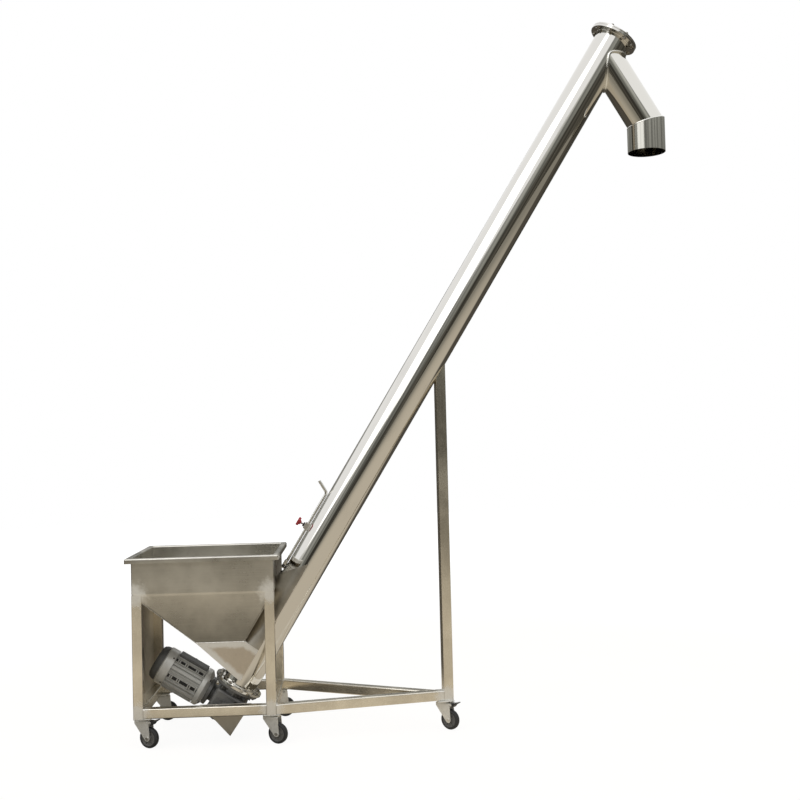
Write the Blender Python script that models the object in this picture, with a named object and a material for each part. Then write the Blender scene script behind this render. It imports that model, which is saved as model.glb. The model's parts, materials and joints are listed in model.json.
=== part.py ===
"""Inclined stainless screw conveyor: hopper frame on casters, long tube, worm-gear drive and spout.

Metres, +Z up. The origin is on the ground, in the middle of the machine's overall footprint.
"""
import math

import bmesh
import bpy
from mathutils import Matrix, Vector

# ---- gaps -------------------------------------------------------------------------------
SEAT_GAP = 0.0003            # between pieces that touch
RUN_GAP = 0.0012             # around what turns or slides

# ---- hopper frame -----------------------------------------------------------------------
FRAME_WIDTH = 0.568          # along X, over the posts
FRAME_DEPTH = 0.478          # along Y, over the posts
POST_SIZE = 0.040            # square tube
POST_WALL = 0.002
PANEL_SHEET = 0.002

# ---- hopper -----------------------------------------------------------------------------
HOPPER_SHEET = 0.002
FOLD_HEIGHT = 0.611          # where the straight walls meet the sloping ones
RIM_HEIGHT = 0.759
RIM_OVERHANG = 0.022
RIM_LIP = 0.020
OUTLET_HEIGHT = 0.400
OUTLET_LEFT = 0.240          # X of the outlet's left edge, from the frame's left face

# ---- conveyor tube ----------------------------------------------------------------------
TUBE_ANGLE = math.radians(58.4)
TUBE_RADIUS = 0.075
TUBE_WALL = 0.0025
TUBE_LENGTH = 3.151
TUBE_FOOT_INSET = 0.1675     # centre of the tube's lower end, from the frame's right face
TUBE_FOOT_Z = 0.2103
TUBE_Y = 0.160               # the tube's plane, from the frame's front face
FLANGE_WIDTH = 0.028
FLANGE_THICK = 0.010
TOP_COVER_THICK = 0.006
BOLT_COUNT = 8
BOLT_INSET = 0.015           # bolts from the outside of the tube
BOLT_RADIUS = 0.0045
BOLT_HEAD_RADIUS = 0.0075
BOLT_HEAD_HEIGHT = 0.006

# ---- spout ------------------------------------------------------------------------------
BRANCH_INSET = 0.0015        # how much smaller than the tube the branch is
BRANCH_ANGLE = math.radians(59.5)    # below the horizontal
BRANCH_BELOW_TOP = 0.0889    # its axis meets the tube's axis this far below the top flange
BRANCH_LENGTH = 0.3405       # from the tube's axis to the mitre
OUTLET_STEP = 0.0055         # how much wider than the branch the vertical outlet is
OUTLET_PIPE_DROP = 0.123
SPOUT_WALL = 0.002
SPOUT_LEDGE = 0.005          # the hole in the tube is this much smaller than the branch's bore

# ---- auger ------------------------------------------------------------------------------
AUGER_PITCH = 0.140
FLIGHT_CLEARANCE = 0.004
FLIGHT_THICK = 0.003
SHAFT_RADIUS = 0.021
SHAFT_WALL = 0.004
STUB_RADIUS = 0.012
FLIGHT_START = 0.035
FLIGHT_END_BELOW_TOP = 0.060
SHAFT_START = 0.020
STUB_GRIP = 0.070            # length of each stub inside the hollow shaft
BEARING_RADIUS = 0.022
BEARING_FLANGE_RADIUS = 0.045
BEARING_LENGTH = 0.030
SEAL_THICK = 0.014

# ---- feed boot and gate -----------------------------------------------------------------
BOOT_SHEET = 0.002
BOOT_FOOT = 0.035            # distance of the boot's toe from the tube's lower end
BOOT_TOE = 0.015             # and from the tube's axis
INLET_START = 0.055
INLET_END = 0.160
INLET_MARGIN = 0.017         # left of the tube on each side of the inlet
GATE_THICK = 0.002
GATE_END = 0.530
GATE_HALF_ANGLE = math.radians(60)
COVER_RISE = 0.013           # half-round cover over the gate, above the tube
COVER_SHEET = 0.0015
COVER_END = 0.596
COVER_NOTCH = 0.110          # the cover's upper end slants back by this much over its crown
ROD_RADIUS = 0.006
ROD_END = 0.872
ROD_BEND = 0.014
HANDLE_LENGTH = 0.050
HANDLE_ANGLE = math.radians(62)
CLEVIS_HALF = 0.012
GUIDE_PLACE = 0.705
GUIDE_HALF = 0.014
GUIDE_OVER_ROD = 0.007
KNOB_RADIUS = 0.019
KNOB_HEIGHT = 0.018
KNOB_NECK = 0.016            # from the guide's top to the grip
KNOB_STEM_RADIUS = 0.004

# ---- leg and long rails -----------------------------------------------------------------
LEG_REACH = 0.700            # from the frame's right face to the middle of the leg

# ---- casters ----------------------------------------------------------------------------
CASTER_HEAD = 0.037          # from the top of the wheels to the underside of the rails
CASTER_PLATE = 0.070
CASTER_PLATE_THICK = 0.003
SWIVEL_THICK = 0.006
SWIVEL_RADIUS = 0.023
SWIVEL_SETBACK = 0.014       # the leg's caster sits this far back along the long rail
WHEEL_RADIUS = 0.0415
WHEEL_WIDTH = 0.024
WHEEL_HUB_RADIUS = 0.012
WHEEL_DISC_RADIUS = 0.031
WHEEL_SIDE_GAP = 0.0025
TYRE_ROUNDING = 0.006
FORK_SHEET = 0.003
FORK_RADIUS = 0.033
AXLE_BOSS = 0.011
CASTER_TRAIL = 0.026
AXLE_RADIUS = 0.004
AXLE_HEAD = 0.003
PEDAL_PIN_RADIUS = 0.002
PEDAL_HUB = 0.0045
PEDAL_DROP = 0.0055          # pedal pin below the top of the fork

# ---- drive ------------------------------------------------------------------------------
DRIVE_DROP = 0.097           # motor axis below the tube's lower end, along the tube
WORM_OFFSET = 0.063          # centre distance of worm and wheel
GEARBOX_HALF = 0.066
GEARBOX_DEPTH = 0.122
GEARBOX_ROUNDING = 0.012
GEARBOX_NECK_INSET = 0.008   # how much smaller than the flange the neck is
GEARBOX_NECK = 0.016
GEARBOX_COLLAR_RADIUS = 0.052
WORM_BARREL_RADIUS = 0.036
MOTOR_SEAT_RADIUS = 0.060
MOTOR_SEAT = 0.020
FOOT_HALF = 0.030
WORM_RADIUS = 0.0125
WORM_WHEEL_RADIUS = 0.049
WORM_WHEEL_HALF = 0.014
WORM_WHEEL_HUB = 0.020
GEAR_SPACE = 0.004           # left round the worm wheel inside the case
MOTOR_START = 0.100          # distance of the motor's front face from the tube's axis
MOTOR_BELL = 0.035
MOTOR_BODY = 0.140
MOTOR_SKIRT = 0.040
MOTOR_CAP = 0.032
MOTOR_RADIUS = 0.081
MOTOR_CORE_RADIUS = 0.070
MOTOR_FACE_RADIUS = 0.062
MOTOR_BORE = 0.056
MOTOR_WALL = 0.006
SPIGOT = 0.004               # how far the front bell reaches into the frame
FIN_COUNT = 30
MOTOR_SHAFT_RADIUS = 0.010
MOTOR_TAIL_RADIUS = 0.008
ROTOR_RADIUS = 0.043
ROTOR_INSET = 0.020
CAP_RADIUS = 0.0745
CAP_FACE_RADIUS = 0.052
CAP_WALL = 0.003
VENT_RADIUS = 0.012
FAN_RADIUS = 0.056
FAN_HUB_RADIUS = 0.018
FAN_WIDTH = 0.013
FAN_BLADES = 6
BOX_HALF = 0.045             # terminal box, along and across the motor
BOX_HEIGHT = 0.042
GLAND_RADIUS = 0.010
DRIVE_PLATE = 0.005
DRIVE_PLATE_POINT = 0.031    # height of its lower corner

ROUND = 32                   # sides of the large round pieces
SMALL = 16                   # sides of the small ones
FLIGHT_STEPS = 12            # steps in one turn of the flight

# ---- derived sizes and places -----------------------------------------------------------
GROUND_CLEARANCE = WHEEL_RADIUS * 2 + CASTER_HEAD
TUBE_FOOT_X = FRAME_WIDTH - TUBE_FOOT_INSET
LEG_X = FRAME_WIDTH + LEG_REACH
FLANGE_RADIUS = TUBE_RADIUS + FLANGE_WIDTH
BOLT_CIRCLE = TUBE_RADIUS + BOLT_INSET
GEARBOX_NECK_RADIUS = FLANGE_RADIUS - GEARBOX_NECK_INSET
BRANCH_RADIUS = TUBE_RADIUS - BRANCH_INSET
OUTLET_PIPE_RADIUS = BRANCH_RADIUS + OUTLET_STEP
COVER_RADIUS = TUBE_RADIUS + COVER_RISE
INLET_HALF_WIDTH = TUBE_RADIUS - INLET_MARGIN
AXIS = Vector((math.cos(TUBE_ANGLE), 0.0, math.sin(TUBE_ANGLE)))
OUTWARD = Vector((-math.sin(TUBE_ANGLE), 0.0, math.cos(TUBE_ANGLE)))
TUBE_FOOT = Vector((TUBE_FOOT_X, TUBE_Y, TUBE_FOOT_Z))
UP = Vector((0.0, 0.0, 1.0))
BRANCH_POINT = TUBE_FOOT + AXIS * (TUBE_LENGTH - BRANCH_BELOW_TOP)
BRANCH_DIRECTION = Vector((math.cos(BRANCH_ANGLE), 0.0, -math.sin(BRANCH_ANGLE)))
MITRE_POINT = BRANCH_POINT + BRANCH_DIRECTION * BRANCH_LENGTH
MOUTH_POINT = MITRE_POINT - UP * OUTLET_PIPE_DROP
RAIL_TOP = GROUND_CLEARANCE + POST_SIZE
RAIL_MIDDLE = GROUND_CLEARANCE + POST_SIZE / 2
FOLD_SPAN = FOLD_HEIGHT - OUTLET_HEIGHT
OUTLET_RIGHT = FRAME_WIDTH - FOLD_SPAN / math.tan(TUBE_ANGLE)
BOOT_HALF_WIDTH = TUBE_RADIUS + SEAT_GAP + BOOT_SHEET
BOOT_HEAD = AXIS.dot(Vector((OUTLET_RIGHT - TUBE_FOOT_X, 0.0, OUTLET_HEIGHT - TUBE_FOOT_Z)))
ROD_PLACE = TUBE_RADIUS + 0.002 + ROD_RADIUS
GATE_INNER = TUBE_RADIUS + RUN_GAP
GATE_OUTER = GATE_INNER + GATE_THICK
BOOT_CORNER = Vector((OUTLET_LEFT, TUBE_Y, OUTLET_HEIGHT - SEAT_GAP)) - TUBE_FOOT
BOOT_LEAN = (BOOT_CORNER.dot(AXIS) - BOOT_FOOT) / (BOOT_CORNER.dot(OUTWARD) - BOOT_TOE)
GATE_NEAREST = GATE_OUTER if BOOT_LEAN > 0.0 else GATE_INNER * math.cos(GATE_HALF_ANGLE)
GATE_START = (BOOT_FOOT + (GATE_NEAREST - BOOT_TOE) * BOOT_LEAN
              + (BOOT_SHEET + RUN_GAP) * math.hypot(1.0, BOOT_LEAN))

MACHINE_LEFT = -RIM_OVERHANG
MACHINE_RIGHT = MITRE_POINT.x + OUTLET_PIPE_RADIUS
CENTRE = Vector(((MACHINE_LEFT + MACHINE_RIGHT) / 2, FRAME_DEPTH / 2, 0.0))


# ---- helpers ----------------------------------------------------------------------------
def clear_scene():
    for thing in list(bpy.data.objects):
        bpy.data.objects.remove(thing, do_unlink=True)


def finish(name, colour, roughness, metallic):
    material = bpy.data.materials.new(name)
    material.use_nodes = True
    shader = material.node_tree.nodes["Principled BSDF"]
    shader.inputs["Base Color"].default_value = (*colour, 1.0)
    shader.inputs["Roughness"].default_value = roughness
    shader.inputs["Metallic"].default_value = metallic
    material.diffuse_color = (*colour, 1.0)
    return material


def empty(name, parent, place, turn=(0.0, 0.0, 0.0)):
    node = bpy.data.objects.new(name, None)
    bpy.context.scene.collection.objects.link(node)
    node.parent = parent
    node.location = place
    node.rotation_euler = turn
    return node


def add(name, mesh, parent, material=None, place=(0.0, 0.0, 0.0), turn=(0.0, 0.0, 0.0)):
    piece = bpy.data.objects.new(name, mesh)
    bpy.context.scene.collection.objects.link(piece)
    piece.parent = parent
    piece.location = place
    piece.rotation_euler = turn
    if material is not None:
        own = material.copy()
        own.name = name + "_finish"
        if not mesh.materials:
            mesh.materials.append(own)
    return piece


def to_mesh(shape, name, smooth=True):
    bmesh.ops.recalc_face_normals(shape, faces=shape.faces)
    mesh = bpy.data.meshes.new(name)
    shape.to_mesh(mesh)
    shape.free()
    if smooth:
        mesh.shade_smooth()
        mesh.set_sharp_from_angle(angle=math.radians(35))
    return mesh


def ring_mesh(rings, name, closed, smooth=False):
    """Skins a stack of equal rings: closed joins the last to the first, otherwise the ends are capped."""
    shape = bmesh.new()
    loops = [[shape.verts.new(point) for point in ring] for ring in rings]
    pairs = list(zip(loops, loops[1:]))
    if closed:
        pairs.append((loops[-1], loops[0]))
    else:
        shape.faces.new(loops[0])
        shape.faces.new(loops[-1])
    for lower, upper in pairs:
        count = len(lower)
        for i in range(count):
            j = (i + 1) % count
            shape.faces.new((lower[i], lower[j], upper[j], upper[i]))
    return to_mesh(shape, name, smooth)


def turned_mesh(profile, name, sides=ROUND, closed=False):
    """Turns (radius, height) points about Z; a closed profile makes a ring, an open one ends on the axis."""
    shape = bmesh.new()
    points = [shape.verts.new((radius, 0.0, height)) for radius, height in profile]
    edges = [shape.edges.new(pair) for pair in zip(points, points[1:])]
    if closed:
        edges.append(shape.edges.new((points[-1], points[0])))
    bmesh.ops.spin(shape, geom=points + edges, cent=(0, 0, 0), axis=(0, 0, 1),
                   angle=math.tau, steps=sides, use_merge=True)
    bmesh.ops.remove_doubles(shape, verts=shape.verts, dist=1e-6)
    return to_mesh(shape, name)


def rod_mesh(radius, low, high, name, sides=SMALL):
    return turned_mesh([(0.0, low), (radius, low), (radius, high), (0.0, high)], name, sides)


def washer_mesh(inner, outer, low, high, name, sides=ROUND):
    return turned_mesh([(inner, low), (outer, low), (outer, high), (inner, high)], name, sides, True)


def box_mesh(low, high, name):
    shape = bmesh.new()
    bmesh.ops.create_cube(shape, size=1.0)
    low = Vector(low)
    high = Vector(high)
    bmesh.ops.scale(shape, vec=high - low, verts=shape.verts)
    bmesh.ops.translate(shape, vec=(low + high) / 2, verts=shape.verts)
    return to_mesh(shape, name, smooth=False)


def prism_mesh(outline, low, high, name, smooth=False):
    """Extrudes an XZ outline along Y from low to high."""
    rings = [[Vector((x, y, z)) for x, z in outline] for y in (low, high)]
    return ring_mesh(rings, name, closed=False, smooth=smooth)


def extruded_mesh(outline, low, high, name, smooth=True):
    """Extrudes an XY outline along Z from low to high."""
    rings = [[Vector((x, y, z)) for x, y in outline] for z in (low, high)]
    return ring_mesh(rings, name, closed=False, smooth=smooth)


def soften(piece, width, segments=2):
    bevel = piece.modifiers.new("rounded_edges", "BEVEL")
    bevel.width = width
    bevel.segments = segments
    bevel.limit_method = "ANGLE"
    bevel.angle_limit = math.radians(40)
    bevel.harden_normals = False


def combine(piece, tool, operation):
    tool.hide_render = True
    tool.display_type = "WIRE"
    modifier = piece.modifiers.new(operation.lower() + "_" + tool.name, "BOOLEAN")
    modifier.operation = operation
    modifier.solver = "EXACT"
    modifier.object = tool


def cut(piece, tool):
    combine(piece, tool, "DIFFERENCE")


def weld(piece, tool):
    combine(piece, tool, "UNION")


def meet_plane(point, direction, plane):
    origin, normal = plane
    return point + direction * ((origin - point).dot(normal) / direction.dot(normal))


def square_tube_mesh(name, start, end, side, start_plane, end_plane):
    """A hollow square tube whose ends lie in any two planes, each given as (point, normal)."""
    direction = (end - start).normalized()
    side = (side - direction * side.dot(direction)).normalized()
    over = direction.cross(side)
    rings = []
    for half, plane in ((POST_SIZE / 2, start_plane), (POST_SIZE / 2, end_plane),
                        (POST_SIZE / 2 - POST_WALL, end_plane),
                        (POST_SIZE / 2 - POST_WALL, start_plane)):
        corners = [(half, half), (-half, half), (-half, -half), (half, -half)]
        rings.append([meet_plane(start + side * a + over * b, direction, plane) for a, b in corners])
    return ring_mesh(rings, name, closed=True)


def rectangle(left, right, front, rear, height, grow=0.0):
    return [Vector((left - grow, front - grow, height)), Vector((right + grow, front - grow, height)),
            Vector((right + grow, rear + grow, height)), Vector((left - grow, rear + grow, height))]


def arc(radius, start, end, count):
    """Points (x, y) on a circle, with -X as angle zero."""
    points = []
    for i in range(count + 1):
        angle = start + (end - start) * i / count
        points.append((-radius * math.cos(angle), radius * math.sin(angle)))
    return points


# ---- finishes ---------------------------------------------------------------------------
clear_scene()
BRUSHED = finish("brushed_stainless", (0.60, 0.57, 0.52), 0.32, 1.0)
POLISHED = finish("polished_stainless", (0.74, 0.73, 0.70), 0.12, 1.0)
MATTE = finish("matte_stainless", (0.50, 0.48, 0.44), 0.45, 1.0)
CAST = finish("grey_casting", (0.24, 0.25, 0.25), 0.55, 0.2)
ZINC = finish("zinc_plate", (0.62, 0.62, 0.60), 0.35, 0.9)
RUBBER = finish("black_rubber", (0.035, 0.036, 0.038), 0.75, 0.0)
STEEL = finish("bright_steel", (0.55, 0.55, 0.56), 0.25, 1.0)
RED = finish("red_plastic", (0.62, 0.04, 0.05), 0.35, 0.0)
BRONZE = finish("bronze", (0.55, 0.38, 0.17), 0.35, 1.0)

shop = empty("machine_origin", None, -CENTRE)
line = empty("conveyor_line", shop, TUBE_FOOT, (0.0, math.pi / 2 - TUBE_ANGLE, 0.0))
motor_line = empty("motor_line", line, (0.0, WORM_OFFSET, -DRIVE_DROP), (0.0, -math.pi / 2, 0.0))


# ---- shared cutters ---------------------------------------------------------------------
def tube_cutter(name, radius, low=-0.3, high=TUBE_LENGTH + 0.3):
    return add(name, rod_mesh(radius, low, high, name, ROUND * 2), line)


# ---- frame ------------------------------------------------------------------------------
def make_post(name, x, y, cope):
    foot = Vector((x, y, GROUND_CLEARANCE))
    head = Vector((x, y, FOLD_HEIGHT - SEAT_GAP))
    mesh = square_tube_mesh(name, foot, head, Vector((1, 0, 0)), (foot, UP), (head, UP))
    cut(add(name, mesh, shop, BRUSHED), cope)


def hopper_cope():
    """The outside of the sloping hopper, lowered by the seat gap, which the posts are cut to."""
    drop = SEAT_GAP * 2
    rings = [rectangle(OUTLET_LEFT, OUTLET_RIGHT, TUBE_Y - BOOT_HALF_WIDTH, TUBE_Y + BOOT_HALF_WIDTH,
                       OUTLET_HEIGHT - drop),
             rectangle(0.0, FRAME_WIDTH, 0.0, FRAME_DEPTH, FOLD_HEIGHT - drop),
             rectangle(0.0, FRAME_WIDTH, 0.0, FRAME_DEPTH, RIM_HEIGHT)]
    return add("hopper_cope", ring_mesh(rings, "hopper_cope", closed=False), shop)


def make_posts():
    cope = hopper_cope()
    half = POST_SIZE / 2
    make_post("front_left_post", half, half, cope)
    make_post("rear_left_post", half, FRAME_DEPTH - half, cope)
    make_post("front_right_post", FRAME_WIDTH - half, half, cope)
    make_post("rear_right_post", FRAME_WIDTH - half, FRAME_DEPTH - half, cope)


def make_rail(name, start, end):
    """A rail between two posts, butted with the seat gap."""
    direction = (end - start).normalized()
    start = start + direction * SEAT_GAP
    end = end - direction * SEAT_GAP
    mesh = square_tube_mesh(name, start, end, UP, (start, direction), (end, direction))
    add(name, mesh, shop, BRUSHED)


def make_rails():
    half = POST_SIZE / 2
    left, right = POST_SIZE, FRAME_WIDTH - POST_SIZE
    front, rear = POST_SIZE, FRAME_DEPTH - POST_SIZE
    z = RAIL_MIDDLE
    make_rail("front_rail", Vector((left, half, z)), Vector((right, half, z)))
    make_rail("rear_rail", Vector((left, FRAME_DEPTH - half, z)), Vector((right, FRAME_DEPTH - half, z)))
    make_rail("left_rail", Vector((half, front, z)), Vector((half, rear, z)))
    make_rail("right_rail", Vector((FRAME_WIDTH - half, front, z)), Vector((FRAME_WIDTH - half, rear, z)))


def long_rail_direction():
    start = Vector((FRAME_WIDTH, POST_SIZE / 2, RAIL_MIDDLE))
    end = Vector((LEG_X, TUBE_Y, RAIL_MIDDLE))
    return (end - start).normalized()


def make_leg_and_long_rails():
    """The leg stands square to the front long rail; the rear long rail is mitred to that rail's side."""
    half = POST_SIZE / 2
    right_face = (Vector((FRAME_WIDTH + SEAT_GAP, 0, 0)), Vector((1, 0, 0)))
    along = long_rail_direction()
    across = UP.cross(along)
    centre = Vector((LEG_X, TUBE_Y, RAIL_MIDDLE))

    start = Vector((FRAME_WIDTH, half, RAIL_MIDDLE))
    leg_face = (centre - along * (half + SEAT_GAP), along)
    mesh = square_tube_mesh("front_long_rail", start, centre, across, right_face, leg_face)
    add("front_long_rail", mesh, shop, BRUSHED)

    start = Vector((FRAME_WIDTH, FRAME_DEPTH - half, RAIL_MIDDLE))
    rail_side = (centre + across * (half + SEAT_GAP), across)
    end = centre - along * (POST_SIZE * 1.5)
    mesh = square_tube_mesh("rear_long_rail", start, end, UP, right_face, rail_side)
    add("rear_long_rail", mesh, shop, BRUSHED)

    foot = Vector((LEG_X, TUBE_Y, GROUND_CLEARANCE))
    head_height = TUBE_FOOT.z + (LEG_X - TUBE_FOOT.x) * math.tan(TUBE_ANGLE)
    head = Vector((LEG_X, TUBE_Y, head_height))
    mesh = square_tube_mesh("support_leg", foot, head, along, (foot, UP), (head, UP))
    cut(add("support_leg", mesh, shop, BRUSHED), tube_cutter("leg_cope", TUBE_RADIUS + SEAT_GAP))


def make_side_panel():
    """Closes the left side between the two posts, up to the sloping wall."""
    slope = FOLD_SPAN / OUTLET_LEFT
    top = FOLD_HEIGHT - PANEL_SHEET * 2 * slope - SEAT_GAP * 2
    low = (PANEL_SHEET, POST_SIZE + SEAT_GAP, RAIL_TOP + SEAT_GAP)
    high = (PANEL_SHEET * 2, FRAME_DEPTH - POST_SIZE - SEAT_GAP, top)
    add("side_panel", box_mesh(low, high, "side_panel"), shop, MATTE)


def make_drive_plate():
    """A pointed plate on the back of the front rail that the gearbox foot is bolted to."""
    apex = TUBE_FOOT - AXIS * 0.188
    outline = [(apex.x + 0.076, DRIVE_PLATE_POINT), (apex.x + 0.164, RAIL_TOP),
               (apex.x - 0.042, RAIL_TOP)]
    front = POST_SIZE + SEAT_GAP
    mesh = prism_mesh(outline, front, front + DRIVE_PLATE, "drive_plate")
    add("drive_plate", mesh, shop, BRUSHED)


# ---- hopper and boot --------------------------------------------------------------------
def make_hopper():
    sheet = HOPPER_SHEET
    front, rear = TUBE_Y - BOOT_HALF_WIDTH, TUBE_Y + BOOT_HALF_WIDTH
    outlet = (OUTLET_LEFT, OUTLET_RIGHT, front, rear)
    walls = (0.0, FRAME_WIDTH, 0.0, FRAME_DEPTH)
    lip = RIM_OVERHANG - sheet
    rings = [rectangle(*outlet, OUTLET_HEIGHT), rectangle(*walls, FOLD_HEIGHT),
             rectangle(*walls, RIM_HEIGHT - sheet), rectangle(*walls, RIM_HEIGHT - sheet, lip),
             rectangle(*walls, RIM_HEIGHT - RIM_LIP, lip),
             rectangle(*walls, RIM_HEIGHT - RIM_LIP, RIM_OVERHANG),
             rectangle(*walls, RIM_HEIGHT, RIM_OVERHANG), rectangle(*walls, RIM_HEIGHT, -sheet),
             rectangle(*walls, FOLD_HEIGHT, -sheet), rectangle(*outlet, OUTLET_HEIGHT, -sheet)]
    hopper = add("hopper_shell", ring_mesh(rings, "hopper_shell", closed=True), shop, BRUSHED)
    cut(hopper, tube_cutter("hopper_slot", COVER_RADIUS + SEAT_GAP, BOOT_FOOT, COVER_END + 0.1))


def make_boot():
    """Wedge-shaped boot under the hopper: it straddles the tube and opens into it."""
    base = TUBE_FOOT + AXIS * BOOT_FOOT
    toe = base + OUTWARD * BOOT_TOE
    head = TUBE_FOOT + AXIS * BOOT_HEAD
    top_left = Vector((OUTLET_LEFT, 0.0, OUTLET_HEIGHT - SEAT_GAP))
    top_right = Vector((OUTLET_RIGHT, 0.0, OUTLET_HEIGHT - SEAT_GAP))
    outline = [(p.x, p.z) for p in (top_left, toe, base, head, top_right)]
    boot = add("feed_boot", prism_mesh(outline, TUBE_Y - BOOT_HALF_WIDTH, TUBE_Y + BOOT_HALF_WIDTH,
                                       "feed_boot"), shop, POLISHED)
    slope = (toe - top_left).normalized()
    shift = Vector((-slope.z, 0.0, slope.x)) * BOOT_SHEET
    inner_top = top_left + shift - slope * 0.05
    inner_toe = toe + shift + slope * 0.02
    far_right = head + AXIS * 0.20
    inner = [(p.x, p.z) for p in (inner_top, inner_toe, base - OUTWARD * 0.02, far_right - OUTWARD * 0.02)]
    inner_half = BOOT_HALF_WIDTH - BOOT_SHEET
    tool = add("boot_inside", prism_mesh(inner, TUBE_Y - inner_half, TUBE_Y + inner_half,
                                         "boot_inside"), shop)
    cut(boot, tool)
    cut(boot, tube_cutter("boot_saddle", TUBE_RADIUS + SEAT_GAP))


def make_gate_cover():
    """Half-round cover over the upper side of the tube, with a lip down to the tube on each edge."""
    quarter = math.pi / 2
    lip_angle = COVER_SHEET / COVER_RADIUS
    inside = COVER_RADIUS - COVER_SHEET
    outline = arc(COVER_RADIUS, -quarter, quarter, 24)
    outline += arc(TUBE_RADIUS + SEAT_GAP, quarter, quarter - lip_angle, 1)
    outline += arc(inside, quarter - lip_angle, -quarter + lip_angle, 24)
    outline += arc(TUBE_RADIUS + SEAT_GAP, -quarter + lip_angle, -quarter, 1)
    cover = add("gate_cover", extruded_mesh(outline, BOOT_HEAD + SEAT_GAP, COVER_END, "gate_cover"),
                line, MATTE)
    deep = COVER_RADIUS * 1.5
    wedge = [(0.01, COVER_END), (-deep, COVER_END - COVER_NOTCH * deep / COVER_RADIUS),
             (-deep, COVER_END + 0.1), (0.01, COVER_END + 0.1)]
    cut(cover, add("cover_notch", prism_mesh(wedge, -deep, deep, "cover_notch"), line))


def make_gate():
    outline = arc(GATE_OUTER, -GATE_HALF_ANGLE, GATE_HALF_ANGLE, 16)
    outline += arc(GATE_INNER, GATE_HALF_ANGLE, -GATE_HALF_ANGLE, 16)
    add("gate_plate", extruded_mesh(outline, GATE_START, GATE_END, "gate_plate"), line, POLISHED)


def rod_path(radius):
    """Rings of the gate rod: straight along the tube, then a bend into the handle."""
    sides = 12
    bend_steps = 4
    bend_start = ROD_END - ROD_BEND
    stations = [((-ROD_PLACE, GATE_END), 0.0), ((-ROD_PLACE, bend_start), 0.0)]
    for i in range(1, bend_steps + 1):
        angle = HANDLE_ANGLE * i / bend_steps
        x = -ROD_PLACE - ROD_BEND * (1 - math.cos(angle))
        z = bend_start + ROD_BEND * math.sin(angle)
        stations.append(((x, z), angle))
    angle = HANDLE_ANGLE
    x, z = stations[-1][0]
    stations.append(((x - HANDLE_LENGTH * math.sin(angle), z + HANDLE_LENGTH * math.cos(angle)), angle))
    rings = []
    for (x, z), angle in stations:
        ring = []
        for k in range(sides):
            turn = math.tau * k / sides
            off = radius * math.cos(turn)
            ring.append(Vector((x + off * math.cos(angle), radius * math.sin(turn),
                                z + off * math.sin(angle))))
        rings.append(ring)
    return rings


def make_gate_rod():
    """The rod ends in a clevis block that is fixed on the gate's upper edge."""
    rod = add("gate_rod", ring_mesh(rod_path(ROD_RADIUS), "gate_rod", closed=False, smooth=True),
              line, STEEL)
    low = (-ROD_PLACE - ROD_RADIUS - 0.004, -CLEVIS_HALF, GATE_END - CLEVIS_HALF * 2)
    high = (-GATE_OUTER - SEAT_GAP, CLEVIS_HALF, GATE_END + CLEVIS_HALF)
    weld(rod, add("rod_clevis", box_mesh(low, high, "rod_clevis"), line))


def make_rod_guide():
    """Block on the tube that the rod slides through, with a threaded boss for the lock knob."""
    low = (-ROD_PLACE - ROD_RADIUS - GUIDE_OVER_ROD, -GUIDE_HALF, GUIDE_PLACE - GUIDE_HALF)
    high = (-TUBE_RADIUS + GUIDE_HALF, GUIDE_HALF, GUIDE_PLACE + GUIDE_HALF)
    guide = add("rod_guide", box_mesh(low, high, "rod_guide"), line, STEEL)
    cut(guide, tube_cutter("guide_saddle", TUBE_RADIUS + SEAT_GAP, GUIDE_PLACE - 0.1, GUIDE_PLACE + 0.1))
    mesh = rod_mesh(ROD_RADIUS + SEAT_GAP, GUIDE_PLACE - 0.05, GUIDE_PLACE + 0.05, "rod_hole", 12)
    cut(guide, add("rod_hole", mesh, line, place=(-ROD_PLACE, 0.0, 0.0)))
    start = ROD_PLACE + ROD_RADIUS - 0.004
    mesh = rod_mesh(KNOB_STEM_RADIUS + SEAT_GAP, start, start + 0.03, "screw_hole", SMALL)
    cut(guide, add("screw_hole", mesh, line, place=(0.0, 0.0, GUIDE_PLACE), turn=(0, -math.pi / 2, 0)))
    return -low[0]


def make_lock_knob(guide_top):
    """Round red grip on a screw that clamps the rod."""
    tip = ROD_PLACE + ROD_RADIUS + RUN_GAP
    stem = KNOB_STEM_RADIUS
    neck = guide_top + KNOB_NECK
    top = neck + KNOB_HEIGHT
    rounding = 0.004
    profile = [(0.0, tip), (stem, tip), (stem, neck), (stem * 2, neck), (stem * 2.5, neck + 0.005),
               (KNOB_RADIUS, neck + 0.007), (KNOB_RADIUS, top - rounding), (KNOB_RADIUS - rounding, top),
               (0.0, top)]
    add("lock_knob", turned_mesh(profile, "lock_knob", SMALL), line, RED,
        place=(0.0, 0.0, GUIDE_PLACE), turn=(0, -math.pi / 2, 0))


# ---- conveyor ---------------------------------------------------------------------------
def make_tube():
    tube = add("conveyor_tube", washer_mesh(TUBE_RADIUS - TUBE_WALL, TUBE_RADIUS, 0.0, TUBE_LENGTH,
                                            "conveyor_tube"), line, POLISHED)
    low = (-TUBE_RADIUS - 0.02, -INLET_HALF_WIDTH, INLET_START)
    high = (-0.020, INLET_HALF_WIDTH, INLET_END)
    cut(tube, add("inlet_cutter", box_mesh(low, high, "inlet_cutter"), line))
    hole = BRANCH_RADIUS - SPOUT_WALL - SPOUT_LEDGE
    mesh = rod_mesh(hole, 0.0, BRANCH_LENGTH, "branch_cutter", ROUND)
    aim = BRANCH_DIRECTION.to_track_quat("Z", "Y").to_euler()
    cut(tube, add("branch_cutter", mesh, shop, place=BRANCH_POINT, turn=aim))


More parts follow.
